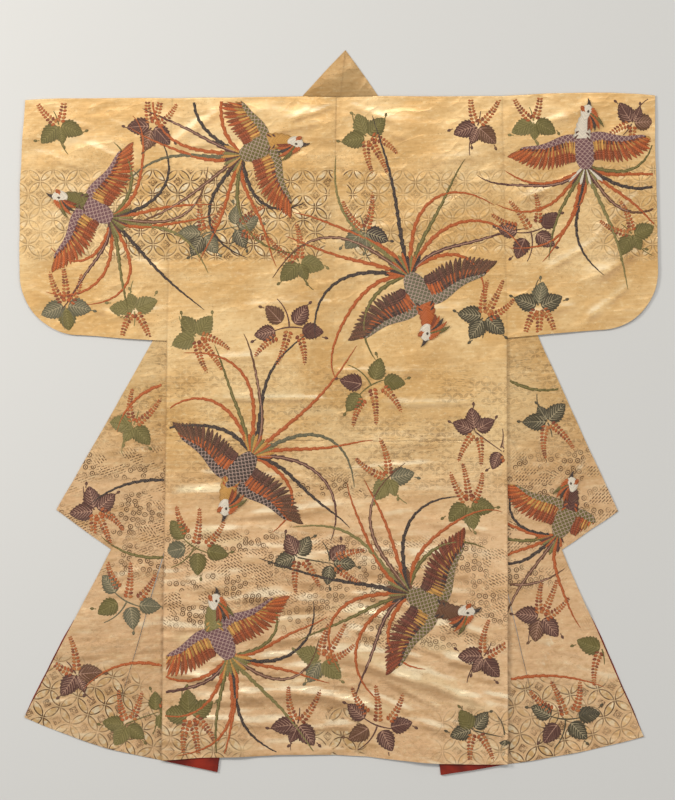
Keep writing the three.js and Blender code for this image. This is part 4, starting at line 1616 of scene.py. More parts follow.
# ---- overlaps ----
@dataclass
class Overlap(RobePiece):
    """Tapered strip between the front's seam and the robe's front edge."""

    columns: int = 26
    rows: int = 110
    rim_columns: int = 4
    rim_rows: int = 60
    hem_bow: float = 3 * MM

    def make(self) -> Piece:
        """Returns:
            The piece.
        """
        side = self.side
        seam = shift_line([side.knee, side.seam_tip, side.seam_foot], side.sign * STITCH)
        collar = shift_line([side.notch, side.seam_tip], side.sign * 2 * STITCH)
        tip = mix(seam[1], collar[0], 0.04)
        across = graded(self.columns, OVERLAP_WIDTH)
        down = graded(self.rows, OVERLAP_LENGTH)

        def place(i: Array, j: Array) -> tuple[Array, Array]:
            """Places by share across from the seam and down from the collar.

            Args:
                i, j: column and row numbers.

            Returns:
                Places on the robe and on the flat cloth.
            """
            inner, outer = mix(tip, seam[2], down[j]), mix(collar[0], side.hem_corner, down[j])
            flat = mix(inner, outer, across[i])
            flat[:, 1] -= self.hem_bow * smooth(down[j] * 4 - 3) * 4 * across[i] * (1 - across[i])
            x, y = flat.T
            return np.stack([x, y, FORM.wing(side, x, y)], -1), FORM.turned_cut_place(side, x, y)

        silk = SilkMesh(f"silk_overlap_{side.name}")
        silk.patch(len(across) - 1, len(down) - 1, place, UP)
        piece = silk.piece(self.finishes.silk, SILK)
        x, y, _ = points_of(piece.data)[0].T
        seams = seam_mask((np.abs(off_line(x, y, side.seam_tip, side.seam_foot)), 0.35),
                          (np.abs(off_line(x, y, side.notch, side.seam_tip)), 0.35))
        dress_masks(piece.data, True, seams, WING_SHADE)
        settle(piece, Slot.GOLD, f"overlap_{side.name}")
        rim = self.make_rim()
        return piece

    def make_rim(self) -> Piece:
        """Builds the rim of lining rolled out past the lower front edge.

        Returns:
            The piece.
        """
        side = self.side
        inner = shift_line([side.notch, side.hem_corner], side.sign * GAP)
        outer = shift_line([side.notch, side.hem_corner], side.sign * (GAP + RIM_WIDTH))

        def place(i: Array, j: Array) -> tuple[Array, Array]:
            """Places of a strip that swells and thins along the edge.

            Args:
                i, j: column and row numbers.

            Returns:
                Places on the robe and on the flat cloth.
            """
            along, round_off = j / self.rim_rows, i / self.rim_columns
            share = side.rim[0] + (side.rim[1] - side.rim[0]) * along
            full = smooth(4 * np.minimum(along, 1 - along) + 0.15)
            full *= 0.85 + 0.15 * value_noise(along * 9, along * 0, 7)
            near, far = mix(inner[0], inner[1], share), mix(outer[0], outer[1], share)
            flat = mix(near, far, full * round_off)
            z = LINING_WALL / 2 + 0.3 * MM * np.sin(math.pi * round_off)
            return np.column_stack([flat, z]), flat

        silk = SilkMesh(f"lining_edge_{side.name}")
        silk.patch(self.rim_columns, self.rim_rows, place, UP)
        piece = silk.piece(self.finishes.plain, LINING_SILK)
        settle(piece, Slot.LINING, f"lining_rim_{side.name}")
        return piece


# ---- sleeves ----
@dataclass
class Sleeve(RobePiece):
    """One length of silk folded along its top, with a rounded lower outer corner."""

    columns: int = 40
    corner_columns: int = 26
    rows: int = 110
    lower_rows: int = 40
    arc_steps: int = 6

    def place(self, column: Array, down: Array) -> tuple[Array, Array]:
        """Places by column number and share down from the top.

        Args:
            column: column numbers.
            down: shares down.

        Returns:
            The places.
        """
        side = self.side
        straight_shares = graded(self.columns, SLEEVE_STRAIGHT)
        turns = np.linspace(0, math.pi / 2, self.corner_columns + 1)[1:]
        straight = np.concatenate([straight_shares, np.ones(len(turns))])[column]
        rounded = np.concatenate([np.zeros(len(straight_shares)), turns])[column]
        corner_x = side.cuff[3][0] - side.sign * side.corner_radius
        straight_x = side.underarm[0] + (corner_x - side.underarm[0]) * straight
        foot_x = straight_x + side.sign * side.corner_radius * np.sin(rounded)
        foot = y_on(side.sleeve_foot, straight_x) + side.corner_radius * (1 - np.cos(rounded))
        share = (foot_x - side.underarm[0]) / (side.cuff[3][0] - side.underarm[0])
        y = side.shoulder_end[1] + (foot - side.shoulder_end[1]) * down
        for _ in range(3):
            inner = x_on(side.side_line, y) + side.sign * STITCH
            x = inner + (x_on(side.cuff, y) - inner) * share
            top = y_on(side.sleeve_top, x)
            y = top + (foot - top) * down
        return x, y

    def make(self) -> Piece:
        """Returns:
            The piece.
        """
        side = self.side
        columns = len(graded(self.columns, SLEEVE_STRAIGHT)) - 1 + self.corner_columns
        downs = graded(self.rows, SLEEVE_DEPTH)
        turns = np.linspace(0, math.pi, self.arc_steps + 1)

        def upper(i: Array, j: Array) -> tuple[Array, Array]:
            """Places of the upper layer."""
            x, y = self.place(i, downs[j])
            return np.stack([x, y, FORM.sleeve(side, x, y)], -1), FORM.cut_place(x, y)

        def lower(i: Array, j: Array) -> tuple[Array, Array]:
            """Places of the top's fold and then of the lower layer.

            Args:
                i, j: column and row numbers.

            Returns:
                Places on the robe and on the flat cloth.
            """
            row = np.maximum(j - self.arc_steps, 0)
            turn = turns[np.minimum(j, self.arc_steps)]
            x, y = self.place(i, row / self.lower_rows)
            high = FORM.sleeve(side, x, y)
            low = FORM.sleeve_lift(side, x, y) + WALL / 2
            middle, radius = (high + low) / 2, (high - low) / 2
            z = np.where(row == 0, middle + radius * np.cos(turn), low)
            y = np.where(row == 0, y + radius * np.sin(turn), y)
            return np.stack([x, y, z], -1), FORM.cut_place(x, y)

        silk = SilkMesh(f"silk_sleeve_{side.name}")
        silk.patch(columns, len(downs) - 1, upper, UP)
        silk.patch(columns, self.arc_steps + self.lower_rows, lower, DOWN)
        piece = silk.piece(self.finishes.silk, SILK)
        x, y, _ = points_of(piece.data)[0].T
        seams = seam_mask((np.abs(side.out(x, y)), 0.35))
        dress_masks(piece.data, False, seams)
        settle(piece, Slot.GOLD, f"sleeve_{side.name}")
        return piece


# ---- collar ----
@dataclass
class CollarHalf(RobePiece):
    """Half of the collar: wing end, run along the front, round the neck to the centre seam."""

    columns: int = 16
    rows: tuple[int, int, int] = (70, 50, 26)

    def stations(self) -> tuple[Array, Array, Array]:
        """Seam side and free side of the strip along its length, and how far the peak stands.

        Returns:
            The two sides and the stand, at each station.
        """
        side = self.side
        sign = side.sign
        margin = side.neck + np.array([sign * NECK_MARGIN, 0])
        seam_side = shift_line([margin, side.knee, side.notch], sign * STITCH)
        lift, close = np.array([0, NECK_STAND]), np.array([0, 2 * STITCH])
        half_gap = np.array([sign * STITCH, 0])
        pass_seam = np.array([side.neck_pass[0] - sign * PASS_WIDTH, side.neck[1]]) + close
        legs = [(side.notch, seam_side[1], side.wing_corner, side.free_knee),
                (seam_side[1], seam_side[0], side.free_knee, side.neck_pass),
                (pass_seam, PEAK_BASE + half_gap + close, side.neck_pass + lift, PEAK_APEX + half_gap)]
        end, front, peak = (np.linspace(0, 1, rows + 1) for rows in self.rows)
        shares = [end, front[1:], 1 - (1 - peak) ** 1.6]
        seam = [mix(leg[0], leg[1], share) for leg, share in zip(legs, shares)]
        free = [mix(leg[2], leg[3], share) for leg, share in zip(legs, shares)]
        stand = [shares[0] * 0, shares[1] * 0, shares[2]]
        return np.concatenate(seam), np.concatenate(free), np.concatenate(stand)

    def make(self) -> Piece:
        """Returns:
            The piece.
        """
        side = self.side
        seam, free, stand = self.stations()
        across = graded(self.columns, COLLAR_WIDTH)

        def place(i: Array, j: Array) -> tuple[Array, Array]:
            """Places by share across from the seam side and station along.

            Args:
                i, j: column and row numbers.

            Returns:
                Places on the robe and on the flat cloth.
            """
            u = across[i]
            x, y = mix(seam[j], free[j], u).T
            crown = PEAK_CROWN * stand[j] * 4 * u * (1 - u)
            crease = 0.5 * MM * stand[j] * value_noise(x / 0.03, y / 0.012, 41)
            z = np.where(stand[j] > 0, FLOOR_LAYER + crown + np.abs(crease), FORM.wing(side, x, y))
            cut = FORM.turned_cut_place(side, x, y)
            return np.stack([x, y, z], -1), np.where((stand[j] > 0)[:, None], FORM.cut_place(x, y), cut)

        silk = SilkMesh(f"silk_collar_{side.name}")
        silk.patch(len(across) - 1, len(seam) - 1, place, UP)
        piece = silk.piece(self.finishes.silk, SILK)
        x, y, _ = points_of(piece.data)[0].T
        to_front = np.abs(off_line(x, y, side.notch, side.seam_tip))
        centre = np.abs(off_line(x, y, PEAK_BASE, PEAK_APEX))
        on_peak = seam_mask((centre, 0.2), (np.abs(y - PEAK_BASE[1]), 0.6))
        peak = y > side.neck[1]
        dress_masks(piece.data, True, np.where(peak, on_peak, seam_mask((to_front, 0.35))),
                    np.where(peak, COLLAR_SHADE, COLLAR_RUN_SHADE))
        settle(piece, Slot.GOLD, f"collar_{side.name}")
        return piece


# ---- lining bands ----
@dataclass
class LiningBand(RobePiece):
    """Red lining of the turned front, at its hem under the back."""

    columns: int = 40
    rows: int = 14

    def make(self) -> Piece:
        """Returns:
            The piece.
        """
        side = self.side
        up = -side.fold_run * LINING_DEPTH
        height = TURNED_LAYER + WALL / 2 + GAP + LINING_WALL / 2

        def place(i: Array, j: Array) -> tuple[Array, Array]:
            """Places along the hem and up from it, with slight waves.

            Args:
                i, j: column and row numbers.

            Returns:
                Places on the robe and on the flat cloth.
            """
            along, rise = i / self.columns, j / self.rows
            flat = mix(side.fold_foot, side.side_foot, along * 0.99) + up * rise[:, None]
            z = height + 0.12 * MM * value_noise(along * 7, rise * 2, 9)
            return np.column_stack([flat, z]), flat

        silk = SilkMesh(f"lining_hem_{side.name}")
        silk.patch(self.columns, self.rows, place, UP)
        piece = silk.piece(self.finishes.plain, LINING_SILK)
        settle(piece, Slot.LINING, f"lining_{side.name}")
        return piece


# ---- embroidery ----
class Dye(Enum):
    """Colours of the floss, as linear red, green and blue."""

    ORANGE = (0.50, 0.098, 0.016)
    AMBER = (0.54, 0.17, 0.04)
    RUST = (0.24, 0.034, 0.009)
    OCHRE = (0.60, 0.30, 0.065)
    NAVY = (0.020, 0.017, 0.024)
    OLIVE = (0.135, 0.118, 0.026)
    MOSS = (0.225, 0.195, 0.060)
    GREY_GREEN = (0.125, 0.125, 0.072)
    DARK_GREEN = (0.042, 0.044, 0.026)
    PLUM = (0.085, 0.022, 0.024)
    BROWN = (0.125, 0.045, 0.022)
    WHITE = (0.80, 0.72, 0.58)
    LAVENDER = (0.155, 0.060, 0.085)
    PINK = (0.44, 0.24, 0.17)
    CREAM = (0.38, 0.32, 0.19)


(ORANGE, AMBER, RUST, OCHRE, NAVY, OLIVE, MOSS, GREY_GREEN, DARK_GREEN, PLUM, BROWN, WHITE,
 LAVENDER, PINK, CREAM) = Dye
VEINS = {PLUM: PINK, BROWN: PINK, NAVY: CREAM, DARK_GREEN: CREAM, GREY_GREEN: CREAM, OLIVE: MOSS,
         MOSS: OLIVE}
HEM_MARGIN = 7 * MM                   # how far a motif keeps from the cloth's edges
SLEEVE_FOOT_END = 572 * MM            # where a sleeve's foot turns into its corner


@dataclass(frozen=True)
class Ground:
    """What an embroidered motif lies on."""

    height: Callable[[Array, Array], Array]
    inside: Callable[[Array, Array], Array]


def top_ground() -> Ground:
    """The back and sleeves.

    Returns:
        The ground.
    """

    def on_back(side: Side, x: Array, y: Array) -> Array:
        """True where one half of the back lies under a place.

        Args:
            side: side of the robe.
            x, y: places in plan.

        Returns:
            The answer for each place.
        """
        out = side.out(x, y)
        mine = side.sign * (x - x_on(side.back_centre, y)) >= -GAP
        within = (y < y_on(side.top_line, x) - HEM_MARGIN) & (y > y_on(side.back_hem, x) + HEM_MARGIN)
        return mine & (out <= 0) & within & ((y > side.underarm[1]) | (out < -HEM_MARGIN))

    def on_sleeve(side: Side, x: Array, y: Array) -> Array:
        """True where a sleeve lies under a place.

        Args:
            side: side of the robe.
            x, y: places in plan.

        Returns:
            The answer for each place.
        """
        foot = y_on(side.sleeve_foot, np.clip(x, -SLEEVE_FOOT_END, SLEEVE_FOOT_END))
        corner = np.array([side.cuff[3][0] - side.sign * side.corner_radius, side.cuff[3][1]])
        past = (side.sign * (x - corner[0]) > 0) & (y < corner[1])
        round_off = np.hypot(x - corner[0], y - corner[1]) < side.corner_radius - HEM_MARGIN
        within = (y < y_on(side.sleeve_top, x) - HEM_MARGIN) & (y > foot + HEM_MARGIN)
        to_cuff = side.sign * (x_on(side.cuff, y) - x)
        return (side.out(x, y) >= 0) & within & (to_cuff > HEM_MARGIN) & (~past | round_off)

    def inside(x: Array, y: Array) -> Array:
        """True where the back or a sleeve lies under a place."""
        return np.any([part(side, x, y) for side in SIDES for part in (on_back, on_sleeve)], axis=0)

    return Ground(FORM.top, inside)


def wing_ground(side: Side) -> Ground:
    """The wing of one side.

    Args:
        side: side of the robe.

    Returns:
        The ground.
    """
    free_edge = np.array([side.wing_corner, side.free_knee])
    front_edge = np.array([side.hem_corner, side.notch])
    hem_line = np.array([side.hem_corner, side.seam_foot, side.fold_foot])

    def height(x: Array, y: Array) -> Array:
        """Upper face of the wing."""
        return FORM.wing(side, x, y) + WALL / 2

    def inside(x: Array, y: Array) -> Array:
        """True where the wing lies under a place.

        Args:
            x, y: places in plan.

        Returns:
            The answer for each place.
        """
        free = side.sign * (x_on(free_edge, y) - x) > HEM_MARGIN
        front = side.sign * (x_on(front_edge, y) - x) > HEM_MARGIN
        above_end = off_line(x, y, side.wing_corner, side.notch) * -side.sign > HEM_MARGIN
        hem = y_on(hem_line, x) + HEM_MARGIN
        inner = -side.sign * off_line(x, y, side.fold_foot, side.neck) > 4 * MM
        upper = np.where(y > side.notch[1], free & above_end, front)
        return upper & (y > hem) & inner

    return Ground(height, inside)


@dataclass
class Needle:
    """Lays raised floss shapes for one motif, in the motif's own frame in millimetres.

    Attributes:
        name: name of the piece.
        ground: what it lies on.
        origin: place of the motif, in metres.
        turn: turn of the motif, in radians.
        scale: size against the drawn one.
        flip: -1 mirrors the motif.
        layer: how many shapes have been laid.
    """

    name: str
    ground: Ground
    origin: Array
    turn: float = 0.0
    scale: float = 1.0
    flip: int = 1
    layer: int = 0

    def __post_init__(self) -> None:
        """Starts the mesh."""
        self.bm = bmesh.new()
        self.tint = self.bm.verts.layers.float_color.new("tint")
        self.stitch = self.bm.verts.layers.float_vector.new("stitch_place")
        self.net = self.bm.verts.layers.float.new("net")

    def to_robe(self, points: Array) -> Array:
        """Motif places as places on the robe.

        Args:
            points: places in the motif, in mm.

        Returns:
            Places on the robe, in metres.
        """
        x, y = points[..., 0] * self.scale * MM, points[..., 1] * self.scale * MM * self.flip
        cos, sin = math.cos(self.turn), math.sin(self.turn)
        return np.stack([self.origin[0] + x * cos - y * sin, self.origin[1] + x * sin + y * cos], -1)

    def kept(self, path: Array) -> int:
        """How many points of a path lie on the cloth before it leaves it."""
        gone = np.flatnonzero(~self.ground.inside(*self.to_robe(path).T))
        return int(gone[0]) if len(gone) else len(path)

    def strip(self, path: Array, half: Array, dye: Colour, rise: float = 0.4, base: float = 0.1,
              columns: int = 2, net: float = 0.0, shade: float = 0.0, trim: bool = True) -> int:
        """Lays a shape along a path.

        Args:
            path: points of its middle line.
            half: half widths at those points, or a row of them for each side.
            dye: colour of the floss.
            rise: height of its middle over its edges, in mm.
            base: height of its edges over the cloth, in mm.
            columns: steps across.
            net: 1 for a net of scales.
            shade: how much darker its edges are.
            trim: ends the shape where it would leave the cloth.

        Returns:
            How many of the path's points were used.
        """
        count = self.kept(path) if trim else len(path)
        if count < 3:
            return 0
        ahead = np.gradient(path, axis=0)
        normal = np.stack([-ahead[:, 1], ahead[:, 0]], 1) / (np.hypot(*ahead.T) + 1e-9)[:, None]
        verts, grid = grid_patch(self.bm, columns, count - 1)
        across = grid[:, 0] * 2 - 1
        row = np.rint(grid[:, 1] * (count - 1)).astype(int)
        cut_short = np.sqrt(np.clip((count - 1 - row) / 6, 0, 1)) if count < len(path) else 1.0
        left, right = np.broadcast_to(half, (2, len(path)))
        width = np.where(across > 0, left[row], right[row]) * cut_short
        robe = self.to_robe(path[row] + normal[row] * (across * width)[:, None])
        reach = np.concatenate([[0], np.cumsum(np.hypot(*np.diff(path, axis=0).T))])[row]
        self.layer += 1
        lift = base + 0.01 * (self.layer % 30) + rise * (1 - across ** 2)
        z = self.ground.height(robe[:, 0], robe[:, 1]) + lift * MM
        stitch = np.stack([across * width, reach], 1) * MM * self.scale
        tints = np.array(dye) * (1 - shade * across[:, None] ** 4)
        rows = zip(verts, np.column_stack([robe, z]).tolist(), tints.tolist(), stitch.tolist())
        for vert, place, tint, laid in rows:
            vert.co = place
            vert[self.tint] = (*tint, 1)
            vert[self.stitch] = (*laid, 0)
            vert[self.net] = net
        return count

    def spot(self, centre: Array, length: float, width: float, turn: float, dye: Colour,
             base: float = 0.1) -> None:
        """Lays a small rounded group of stitches.

        Args:
            centre: its middle, in mm.
            length, width: its size, in mm.
            turn: its direction, in radians.
            dye: its colour.
            base: height of its edges over the cloth, in mm.
        """
        if not self.kept(centre[None]):
            return
        share = np.linspace(0, 1, 5)
        path = centre + (share[:, None] - 0.5) * length * np.array([math.cos(turn), math.sin(turn)])
        half = width / 2 * np.array([0.42, 0.95, 1.0, 0.8, 0.2])
        self.strip(path, half, dye, 0.6, base, shade=0.4, trim=False)

    def piece(self, floss: Material) -> Piece:
        """Ends the motif and returns its object.

        Args:
            floss: material of the stitches.

        Returns:
            The piece.
        """
        self.bm.normal_update()
        downward = [face for face in self.bm.faces if face.normal.z < 0]
        bmesh.ops.reverse_faces(self.bm, faces=downward)
        for face in self.bm.faces:
            face.smooth = True
        mesh = end_mesh(self.bm, self.name, floss)
        lay_map(mesh, "stitch_place", "stitch")
        piece = put(self.name, mesh)
        settle(piece, Slot.GOLD)
        return piece


def curve(start: Sequence[float], heading: float, length: float, bend: float, step: float = 3.0,
          late: float = 1.0, sway: float = 0.0) -> Array:
    """Points of a curve that bends steadily, or more towards its end.

    Args:
        start: first point, in mm.
        heading: first direction, in degrees.
        length: length in mm.
        bend: total turn in degrees.
        step: distance between points.
        late: over 1 bends more towards the end.
        sway: how far it swings to one side and back, in degrees.

    Returns:
        The points.
    """
    count = max(int(length / step), 4)
    share = np.linspace(0, 1, count + 1)
    way = np.radians(heading + bend * share ** late + sway * np.sin(5.2 * share))
    steps = np.stack([np.cos(way), np.sin(way)], 1)[:-1] * (length / count)
    return np.vstack([start, np.array(start) + np.cumsum(steps, 0)])


def along(path: Array) -> Array:
    """Shares from 0 to 1 for the points of a path."""
    return np.linspace(0, 1, len(path))


def bulge(path: Array, start: float, end: float) -> Array:
    """Widths along a path, read off half a wave between two shares of it."""
    return np.sin(math.pi * np.linspace(start, end, len(path)))


def heading_at(path: Array, index: int) -> float:
    """Direction of a path at one of its points, in radians."""
    return math.atan2(*(path[index + 1] - path[index])[::-1])


def point(heading: float, reach: float) -> Array:
    """Vector with a direction in degrees and a length."""
    return reach * np.array([math.cos(math.radians(heading)), math.sin(math.radians(heading))])


class Gardener:
    """Embroiders leaf sprays with flower spikes."""

    def __init__(self, needle: Needle, seed: int) -> None:
        """Works on one motif with a seeded source of small differences."""
        self.needle = needle
        self.draw = random.Random(seed)

    def blade(self, start: Sequence[float], heading: float, length: float, width: float, dye: Dye,
              ribs: int) -> None:
        """Lays one toothed blade with its midrib and side veins.

        Args:
            start: its foot, in mm.
            heading: its direction, in degrees.
            length, width: its size, in mm.
            dye: its colour.
            ribs: how many side veins each half has.
        """
        needle, bend = self.needle, self.draw.uniform(-14, 14)
        path = curve(start, heading, length, bend, length / 36)
        share = along(path)
        body = width / 2 * np.sin(math.pi * share ** 0.70) ** 0.72
        half = [body * (0.88 + 0.22 * ((share * 6.99 + slip) % 1.0)) for slip in (0.01, 0.4)]
        if not needle.strip(path, half, dye.value, 0.25, columns=4, shade=0.25):
            return
        vein = VEINS[dye].value
        midrib = np.linspace(0.85, 0.4, len(path) - 3)
        needle.strip(path[1:-2], midrib, vein, 0.2, 0.42)
        for k in range(ribs):
            at = 0.06 + 0.78 * k / ribs
            reach = width * 0.47 * math.sin(math.pi * (at + 0.12) ** 0.70) ** 0.72
            for hand in (-1, 1):
                way = heading + bend * at + hand * (58 - 16 * at)
                rib = curve(path[int(at * len(path))], way, reach, -hand * 26, reach / 4)
                thin = np.linspace(0.72, 0.36, len(rib))
                needle.strip(rib, thin, vein, 0.15, 0.38)

    def leaf(self, start: Sequence[float], heading: float, length: float, width: float, dye: Dye) -> None:
        """Lays a leaf and the bud past its tip.

        Args:
            start: its foot, in mm.
            heading: its direction, in degrees.
            length, width: its size, in mm.
            dye: its colour.
        """
        self.blade(start, heading + self.draw.uniform(-10, 10), length, width * 0.86, dye, 6)
        tip = np.array(start) + point(heading, length * 0.98)
        way = heading + self.draw.uniform(-40, 40)
        self.twig(tip, way, 7, 20, dye, 1.1)
        self.needle.spot(tip + point(way, 8.5), 7.5, 5.6, math.radians(way), dye.value, 0.3)

    def spike(self, start: Sequence[float], heading: float, length: float, bend: float) -> None:
        """Lays a flower spike: paired florets that shrink towards the tip.

        Args:
            start: its foot, in mm.
            heading: its first direction, in degrees.
            length: its length, in mm.
            bend: its turn, in degrees.
        """
        path = curve(start, heading, length, bend, 1.0)
        at = 4.0
        while at < length - 1:
            share = at / length
            index = min(int(at), len(path) - 2)
            way = heading_at(path, index)
            beside = np.array([-math.sin(way), math.cos(way)]) * (5.3 - 3.6 * share)
            for hand in (-1, 1):
                dye = self.draw.choice((ORANGE, ORANGE, AMBER, RUST)).value
                turn = way + hand * self.draw.uniform(0.95, 1.3)
                place = path[index] + beside * hand
                self.needle.spot(place, 9.2 - 5.2 * share, 6.7 - 3.8 * share, turn, dye, 0.15)
            at += 7.9 - 4.2 * share
        self.needle.spot(path[-1], 3.0, 2.0, way, ORANGE.value)

    def twig(self, start: Sequence[float], heading: float, length: float, bend: float, dye: Dye,
             width: float = 1.6) -> None:
        """Lays a thin branch.

        Args:
            start: its foot, in mm.
            heading: its first direction, in degrees.
            length: its length, in mm.
            bend: its turn, in degrees.
            dye: its colour.
            width: half its width at the foot, in mm.
        """
        path = curve(start, heading, length, bend, min(3.0, length / 4))
        half = np.linspace(width, width * 0.5, len(path))
        self.needle.strip(path, half, dye.value, 0.5)


@dataclass(frozen=True)
class SprayForm:
    """How a spray grows, in mm and degrees.

    Attributes:
        leaves: heading, length, width and start of each leaf.
        spikes: heading, length, bend and start of each flower spike.
        twigs: heading, length, bend and start of each branch.
    """

    leaves: tuple[tuple[float, float, float, tuple[float, float]], ...]
    spikes: tuple[tuple[float, float, float, tuple[float, float]], ...]
    twigs: tuple[tuple[float, float, float, tuple[float, float]], ...]


FAN = SprayForm(
    leaves=((196, 46, 42, (-5, 2)), (268, 44, 42, (0, -4)), (-20, 46, 42, (6, 1))),
    spikes=((118, 66, -26, (-4, 8)), (82, 74, 12, (3, 9)), (42, 62, 36, (9, 5))),
    twigs=((236, 54, 60, (0, 0)), (-58, 34, -30, (4, -4))),
)
PAIR = SprayForm(
    leaves=((204, 48, 42, (-3, 0)), (-30, 47, 42, (4, -1)), (266, 34, 30, (1, -3))),
    spikes=((132, 68, -34, (-5, 6)), (58, 72, 28, (4, 7))),
    twigs=((250, 62, 50, (0, 0)), (88, 30, 20, (0, 3))),
)
BRANCH = SprayForm(
    leaves=((190, 44, 40, (-5, 0)), (258, 44, 41, (-1, -4)), (-36, 42, 38, (4, -2)),
            (28, 44, 40, (64, 34)), (-44, 40, 38, (62, 28)), (112, 38, 34, (56, 38))),
    spikes=((122, 64, -24, (-3, 8)), (70, 60, 16, (10, 12)), (66, 60, -30, (66, 42)), (-8, 58, 24, (72, 26))),
    twigs=((30, 70, -4, (0, 2)), (232, 56, 62, (0, 0)), (-76, 40, -36, (58, 28))),
)
TRAIL = SprayForm(
    leaves=((150, 42, 38, (-26, 12)), (214, 44, 40, (-16, -6)),
            (-62, 44, 40, (10, -6)), (14, 42, 38, (26, 4))),
    spikes=((96, 70, 16, (0, 9)), (146, 58, -30, (-22, 22)), (58, 60, 30, (20, 14))),
    twigs=((168, 34, -20, (0, 2)), (-8, 34, 16, (0, 2)), (262, 60, -46, (0, 0))),
)

SPRAY_SCALE = 1.18


@dataclass(frozen=True)
class Spray:
    """A leaf spray: place in mm, turn in degrees, form, leaf colours, size and handing."""

    x: float
    y: float
    turn: float
    form: SprayForm
    first: Dye
    second: Dye
    size: float
    flip: int
    where: str = "top"


SPRAYS = tuple(Spray(*row) for row in (
    (-618, 632, 14, PAIR, OLIVE, OLIVE, 0.92, 1), (-414, 628, -12, FAN, PLUM, BROWN, 0.92, 1),
    (-604, 234, 8, FAN, GREY_GREEN, OLIVE, 0.95, 1), (-452, 226, 6, PAIR, MOSS, MOSS, 0.92, -1),
    (-300, 392, -16, BRANCH, GREY_GREEN, DARK_GREEN, 0.94, 1), (-88, 330, 24, PAIR, OLIVE, MOSS, 0.95, 1),
    (-316, 168, 34, FAN, MOSS, OLIVE, 0.95, -1), (-110, 190, -6, TRAIL, PLUM, BROWN, 0.96, -1),
    (-320, -300, -20, TRAIL, OLIVE, GREY_GREEN, 0.96, 1),
    (-92, -318, 18, BRANCH, DARK_GREEN, PLUM, 0.95, -1), (-40, -548, -30, FAN, MOSS, GREY_GREEN, 0.98, 1),
    (-330, -668, 8, FAN, OLIVE, OLIVE, 1.0, -1), (-92, -690, -14, PAIR, PLUM, PLUM, 0.98, 1),
    (60, 610, 26, FAN, OLIVE, MOSS, 0.94, -1), (305, 630, -18, PAIR, PLUM, BROWN, 0.92, 1),
    (56, 398, 8, PAIR, GREY_GREEN, NAVY, 0.94, 1), (318, 208, -24, FAN, DARK_GREEN, DARK_GREEN, 0.96, 1),
    (70, 62, 20, TRAIL, OLIVE, PLUM, 0.96, -1), (300, -40, -8, BRANCH, PLUM, PLUM, 0.90, -1),
    (110, -146, 32, PAIR, MOSS, GREY_GREEN, 0.96, 1), (286, -206, 12, FAN, OLIVE, MOSS, 0.95, 1),
    (84, -694, -10, TRAIL, PLUM, BROWN, 0.98, 1), (296, -700, 16, BRANCH, DARK_GREEN, OLIVE, 0.92, -1),
    (318, -540, -36, PAIR, PLUM, PLUM, 0.94, 1), (430, 640, 10, PAIR, MOSS, OLIVE, 0.90, 1),
    (648, 640, -30, PAIR, PLUM, BROWN, 0.88, -1), (424, 396, 22, TRAIL, PLUM, PLUM, 0.92, 1),
    (440, 236, -6, FAN, DARK_GREEN, GREY_GREEN, 0.94, -1), (648, 392, 40, PAIR, OLIVE, OLIVE, 0.88, 1),
    (-455, -30, -26, PAIR, MOSS, OLIVE, 0.92, 1, "left"),
    (-540, -215, 20, FAN, PLUM, PLUM, 0.94, -1, "left"),
    (-470, -420, -18, TRAIL, GREY_GREEN, OLIVE, 0.96, 1, "left"),
    (-580, -580, 30, PAIR, PLUM, BROWN, 0.96, 1, "left"),
    (-470, -690, -8, BRANCH, OLIVE, MOSS, 0.92, 1, "left"),
    (460, -20, 24, PAIR, DARK_GREEN, DARK_GREEN, 0.92, -1, "right"),
    (444, -455, -20, FAN, PLUM, BROWN, 0.94, 1, "right"),
    (580, -520, 16, PAIR, OLIVE, GREY_GREEN, 0.96, -1, "right"),
    (500, -680, 8, TRAIL, DARK_GREEN, PLUM, 0.98, 1, "right"),
))


@dataclass(frozen=True)
class Plume:
    """A tail plume: colour, heading, length in mm, bend in degrees, how late it bends, and sway."""

    dye: Dye
    heading: float
    length: float
    bend: float
    late: float = 1.0
    sway: float = 0.0


